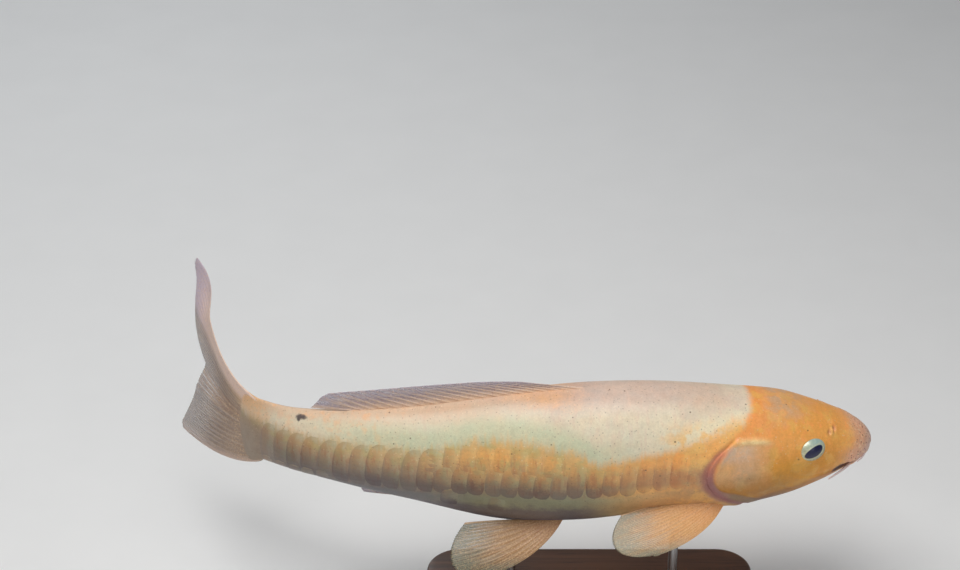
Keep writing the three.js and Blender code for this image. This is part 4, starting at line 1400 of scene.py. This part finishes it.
def finPaint(name, tone):
    # `root`, `middle` and `margin` are colours along the rays, `rim` lies along the two edge rays, `web`
    # dulls the skin between the rays from `webStart` outwards, and `clear` is how far that skin lets light
    # through at the margin.
    p = Paint(name)
    across, out, ridge = p.split(p.stored("web", 1))
    cloud = p.noise(p.joined(across * 3, out * 1.2, 0), 3.0, 3)
    streak = p.noise(p.joined(across * 26, out * 2.2, 0), 1.0, 3)
    fine = p.noise(p.place(), 900, 2)
    speckle = p.eased(fine, 0.56, 0.7)
    color = p.mix(p.eased(out + (cloud - 0.5) * 0.4, 0.1, 0.5), tone["root"], tone["middle"])
    color = p.mix(p.eased(out + (cloud - 0.5) * 0.5, 0.5, 1.0), color, tone["margin"])
    if "high" in tone:
        drift = (cloud - 0.5) * 0.3
        high = p.eased(across + drift, 0.62, 0.92) * p.eased(out + drift, 0.42, 0.1)
        color = p.mix(high, color, tone["high"])
    web = p.eased(out, tone["webStart"], tone["webStart"] + 0.5)
    web = p.tinted(web, color, tone["web"])
    color = p.mix(ridge * 0.85, web, color)
    color = p.mix(p.eased(streak, 0.52, 0.68) * 0.25, color, linear(236, 214, 190))
    width = tone["rimWidth"]
    rim = p.eased(across, 1 - 1.2 * width, 1 - 0.6 * width)
    if "leaf" in tone:
        rim = rim * p.eased(out, 1.0, 0.6)
        leaf = p.eased(across + (streak - 0.5) * 0.06, 0.8, 0.88) * p.eased(out, 0.5, 0.75)
        color = p.mix(leaf, color, tone["leaf"])
    color = p.mix(p.math("MAXIMUM", rim, p.eased(across, 0.5 * width, 0) * 0.5), color, tone["rim"])
    color = p.mix(speckle * 0.4, color, linear(178, 108, 84))
    color = p.mix(p.eased(fine, 0.47, 0.36) * 0.4, color, linear(248, 208, 160))
    joints = p.math("SINE", out * 320) * 0.5 + 0.5
    bump = p.raised(joints * ridge * 0.6 + fine * 0.5, 0.00009)
    clear = (1 - ridge * 0.7) * p.eased(out, 0.2, 0.95) * tone["clear"]
    if "leaf" in tone:
        clear = clear * (1 - p.math("MAXIMUM", rim, leaf * 0.7))
    return p.finish(
        Base_Color=color,
        Roughness=0.38 + cloud * 0.15,
        Normal=bump,
        Alpha=1 - clear,
        Coat_Weight=0.12,
        Coat_Roughness=0.25,
    )


def eyePaint():
    p = Paint("koiEye")
    ahead, level, over = p.split(p.stored("looks", 1))
    slant = math.radians(eyeShape["slant"])
    long, short = eyeShape["pupil"]
    lengthwise = (level * math.cos(slant) + over * math.sin(slant)) / long
    crosswise = (over * math.cos(slant) - level * math.sin(slant)) / short
    spread = p.math("SQRT", lengthwise * lengthwise + crosswise * crosswise)  # 1 at the pupil's edge
    angle = p.math("ARCTAN2", over, level)
    around = p.joined(p.math("SINE", angle) * 3, p.math("COSINE", angle) * 3, spread)
    fibres = p.noise(around, 2.4, 3)
    # pale blue-green over the top of the iris: partly its own colour, partly a painted reflection
    iris = p.mix(p.eased(over, -3, 6), linear(172, 166, 126), linear(176, 204, 196))
    iris = p.mix(p.eased(level, 3, -7) * 0.5, iris, linear(196, 186, 128))
    iris = p.mix(p.eased(fibres, 0.35, 0.7) * 0.5, iris, linear(222, 230, 212))
    rim = p.span(spread, 1.0, 1.08, 1.1, 1.4)
    iris = p.mix(rim * 0.5, iris, linear(222, 222, 190))
    pupil = p.mix(p.eased(fibres, 0.5, 0.8), linear(12, 18, 62), linear(30, 40, 104))
    inside = p.eased(spread, 1.03, 0.97) * p.math("GREATER_THAN", ahead, 0)
    color = p.mix(inside, iris, pupil)
    metal = 0.25 * (1 - inside)
    return p.finish(Base_Color=color, Roughness=0.36, Metallic=metal, Coat_Weight=0.35, Coat_Roughness=0.2)


def feelerPaint():
    p = Paint("feelerSkin")
    _, out, _ = p.split(p.stored("web", 1))
    fine = p.noise(p.place(), 1400, 3)
    color = p.mix(p.eased(out + (fine - 0.5) * 0.4, 0.05, 0.4), linear(216, 168, 144), linear(228, 206, 204))
    rings = p.math("SINE", out * 210) * 0.5 + 0.5
    bump = p.raised(rings * 0.5 + fine * 0.5, 0.0001)
    return p.finish(Base_Color=color, Roughness=0.3 + fine * 0.15, Normal=bump)


def woodPaint():
    p = Paint("walnut")
    place = p.place()
    stretched = p.moved(place, scale=(4, 60, 60))
    grain = p.noise(stretched, 1.4, 5, 0.6, 0.6)
    pores = p.noise(p.moved(place, scale=(30, 900, 900)), 1.0, 2)
    color = p.mix(p.eased(grain, 0.3, 0.7), linear(64, 38, 24), linear(112, 72, 44))
    color = p.mix(p.eased(pores, 0.62, 0.72) * 0.6, color, linear(38, 23, 15))
    bump = p.raised(grain * 0.4 + pores * 0.6, 0.0001)
    rough = 0.34 + pores * 0.2
    return p.finish(Base_Color=color, Roughness=rough, Normal=bump, Coat_Weight=0.3, Coat_Roughness=0.2)


def steelPaint():
    p = Paint("brushedSteel")
    brush = p.noise(p.moved(p.place(), scale=(300, 300, 4000)), 1.0, 2)
    color = p.mix(brush, linear(168, 170, 172), linear(206, 208, 210))
    rough = 0.24 + brush * 0.14
    return p.finish(Base_Color=color, Metallic=1.0, Roughness=rough, Normal=p.raised(brush, 0.00002))


def floorPaint():
    p = Paint("studioFloor")
    grain = p.noise(p.place(), 18, 4)
    color = p.mix(grain, (0.84, 0.845, 0.85, 1), (0.88, 0.885, 0.89, 1))
    return p.finish(Base_Color=color, Roughness=0.7 + grain * 0.1)


# Stand

stand = {"corner": 26, "round": 2.5, "soft": 0.4, "ring": 48}


def millimetres(node):
    low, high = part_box(node)
    return np.array(low) / mm, np.array(high) / mm


def makeBoard():
    low, high = millimetres("stand_base")
    size = high - low
    clearSelection()
    bpy.ops.mesh.primitive_cube_add(size=1, location=(low + high) / 2 * mm, scale=size * mm)
    board = bpy.context.object
    board.name = board.data.name = "standBase"
    bpy.ops.object.transform_apply(location=True, rotation=True, scale=True)
    bpy.ops.object.mode_set(mode="EDIT")
    bpy.ops.mesh.select_all(action="DESELECT")
    bpy.ops.mesh.select_mode(type="EDGE")
    bpy.ops.object.mode_set(mode="OBJECT")
    for edge in board.data.edges:
        a, b = (board.data.vertices[i].co for i in edge.vertices)
        edge.select = abs(a.z - b.z) > 1e-4
    bpy.ops.object.mode_set(mode="EDIT")
    bpy.ops.mesh.bevel(offset=stand["corner"] * mm, segments=14, affect="EDGES")
    bpy.ops.object.mode_set(mode="OBJECT")
    bevel = board.modifiers.new("edge", "BEVEL")
    bevel.width = stand["round"] * mm
    bevel.segments = 5
    bevel.limit_method = "ANGLE"
    bevel.angle_limit = math.radians(40)
    applyAll(board)
    bpy.ops.object.shade_smooth_by_angle(angle=math.radians(35))
    return board


def makeRound(node, name, profile):
    # a turned piece on its node's axis, from pairs of a radius and a height
    low, high = millimetres(node)
    x, y = (low[:2] + high[:2]) / 2 * mm
    radius, height = profile[0]
    clearSelection()
    bpy.ops.mesh.primitive_circle_add(
        vertices=stand["ring"], radius=radius * mm, fill_type="NOTHING", location=(x, y, height * mm)
    )
    piece = bpy.context.object
    piece.name = piece.data.name = name
    bpy.ops.object.mode_set(mode="EDIT")
    bpy.ops.mesh.select_all(action="SELECT")
    for (r0, z0), (r1, z1) in zip(profile, profile[1:]):
        bpy.ops.mesh.extrude_region_move(TRANSFORM_OT_translate={"value": (0, 0, (z1 - z0) * mm)})
        if abs(r1 - r0) > 1e-6:
            share = r1 / r0
            bpy.ops.transform.resize(value=(share, share, 1), center_override=(x, y, z1 * mm))
    bpy.ops.object.mode_set(mode="OBJECT")
    bpy.ops.object.transform_apply(location=True, rotation=True, scale=True)
    return piece


def makeRod(which):
    low, high = millimetres("stand_rod_" + which)
    radius = (high[0] - low[0]) / 2
    soft = stand["soft"]
    profile = [(0.01, low[2]), (radius - soft, low[2]), (radius, low[2] + soft), (radius, high[2] - soft),
               (radius - soft, high[2]), (0.01, high[2])]
    rod = makeRound("stand_rod_" + which, "standRod" + which.capitalize(), profile)
    closeUp(rod, 2e-5)
    bpy.ops.object.shade_smooth_by_angle(angle=math.radians(35))
    return rod


def makeCollar(which):
    low, high = millimetres("stand_collar_" + which)
    rodLow, rodHigh = millimetres("stand_rod_" + which)
    inner = (rodHigh[0] - rodLow[0]) / 2 + 0.05
    outer = (high[0] - low[0]) / 2
    z, top = low[2] - 0.3, high[2]
    tall = top - z
    profile = [(inner, z), (outer - 0.3, z), (outer, z + 0.3), (outer, z + 0.52 * tall)]
    profile += [(outer * wide, z + share * tall) for wide, share in ((0.97, 0.6), (0.86, 0.68), (0.76, 0.86))]
    profile += [(outer * 0.7, top - 0.3), (outer * 0.66, top)]
    profile += [(inner + 0.2, top), (inner, top - 0.2), (inner, z)]
    collar = makeRound("stand_collar_" + which, "standCollar" + which.capitalize(), profile)
    closeUp(collar, 2e-5)
    bpy.ops.object.shade_smooth_by_angle(angle=math.radians(35))
    return collar


# Putting the model together


def finishPiece(piece, material, slot, *nodes):
    piece.data.materials.clear()
    piece.data.materials.append(material)
    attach(piece, "root")
    if nodes:
        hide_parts(*nodes)


floor.data.materials.append(floorPaint())
fleshNodes = (
    "head", "lower_jaw", "gill_cover_right", "gill_cover_left", "trunk_front", "trunk_rear", "tail_stalk"
)
finishPiece(makeSkin(), skinPaint(), "skin", *fleshNodes)
print("skin ready")
finishPiece(makeScales(), scalePaint(), "scale")
print("scales ready")
for node in pairedFins:
    pairedPaint = finPaint(node.replace("_f", "F") + "s", finTones[node.split("_")[0]])
    for side, name in ((1, "right"), (-1, "left")):
        finishPiece(makePairedFin(node, side), pairedPaint, "fin", f"{node}_{name}")
midPaint = finPaint("midFins", finTones["mid"])
for node in midFins:
    finishPiece(makeMidFin(node), midPaint, "fin", node)
tailPaint = finPaint("tailFinWeb", finTones["tail"])
finishPiece(makeTailFin(), tailPaint, "fin", "tail_fin_upper", "tail_fin_lower")
print("fins ready")
eyeMaterial, feelerMaterial = eyePaint(), feelerPaint()
for name, sign in (("right", 1), ("left", -1)):
    finishPiece(makeEye(name, sign), eyeMaterial, "eye", "eye_" + name)
    for kind in feelers:
        finishPiece(makeFeeler(kind, name, sign), feelerMaterial, "feeler", f"feeler_{kind}_{name}")
print("eyes and feelers ready")
finishPiece(makeBoard(), woodPaint(), "stand_wood", "stand_base")
steel = steelPaint()
for which in ("front", "rear"):
    finishPiece(makeRod(which), steel, "stand_steel", "stand_rod_" + which)
    finishPiece(makeCollar(which), steel, "stand_steel", "stand_collar_" + which)
print("stand ready")
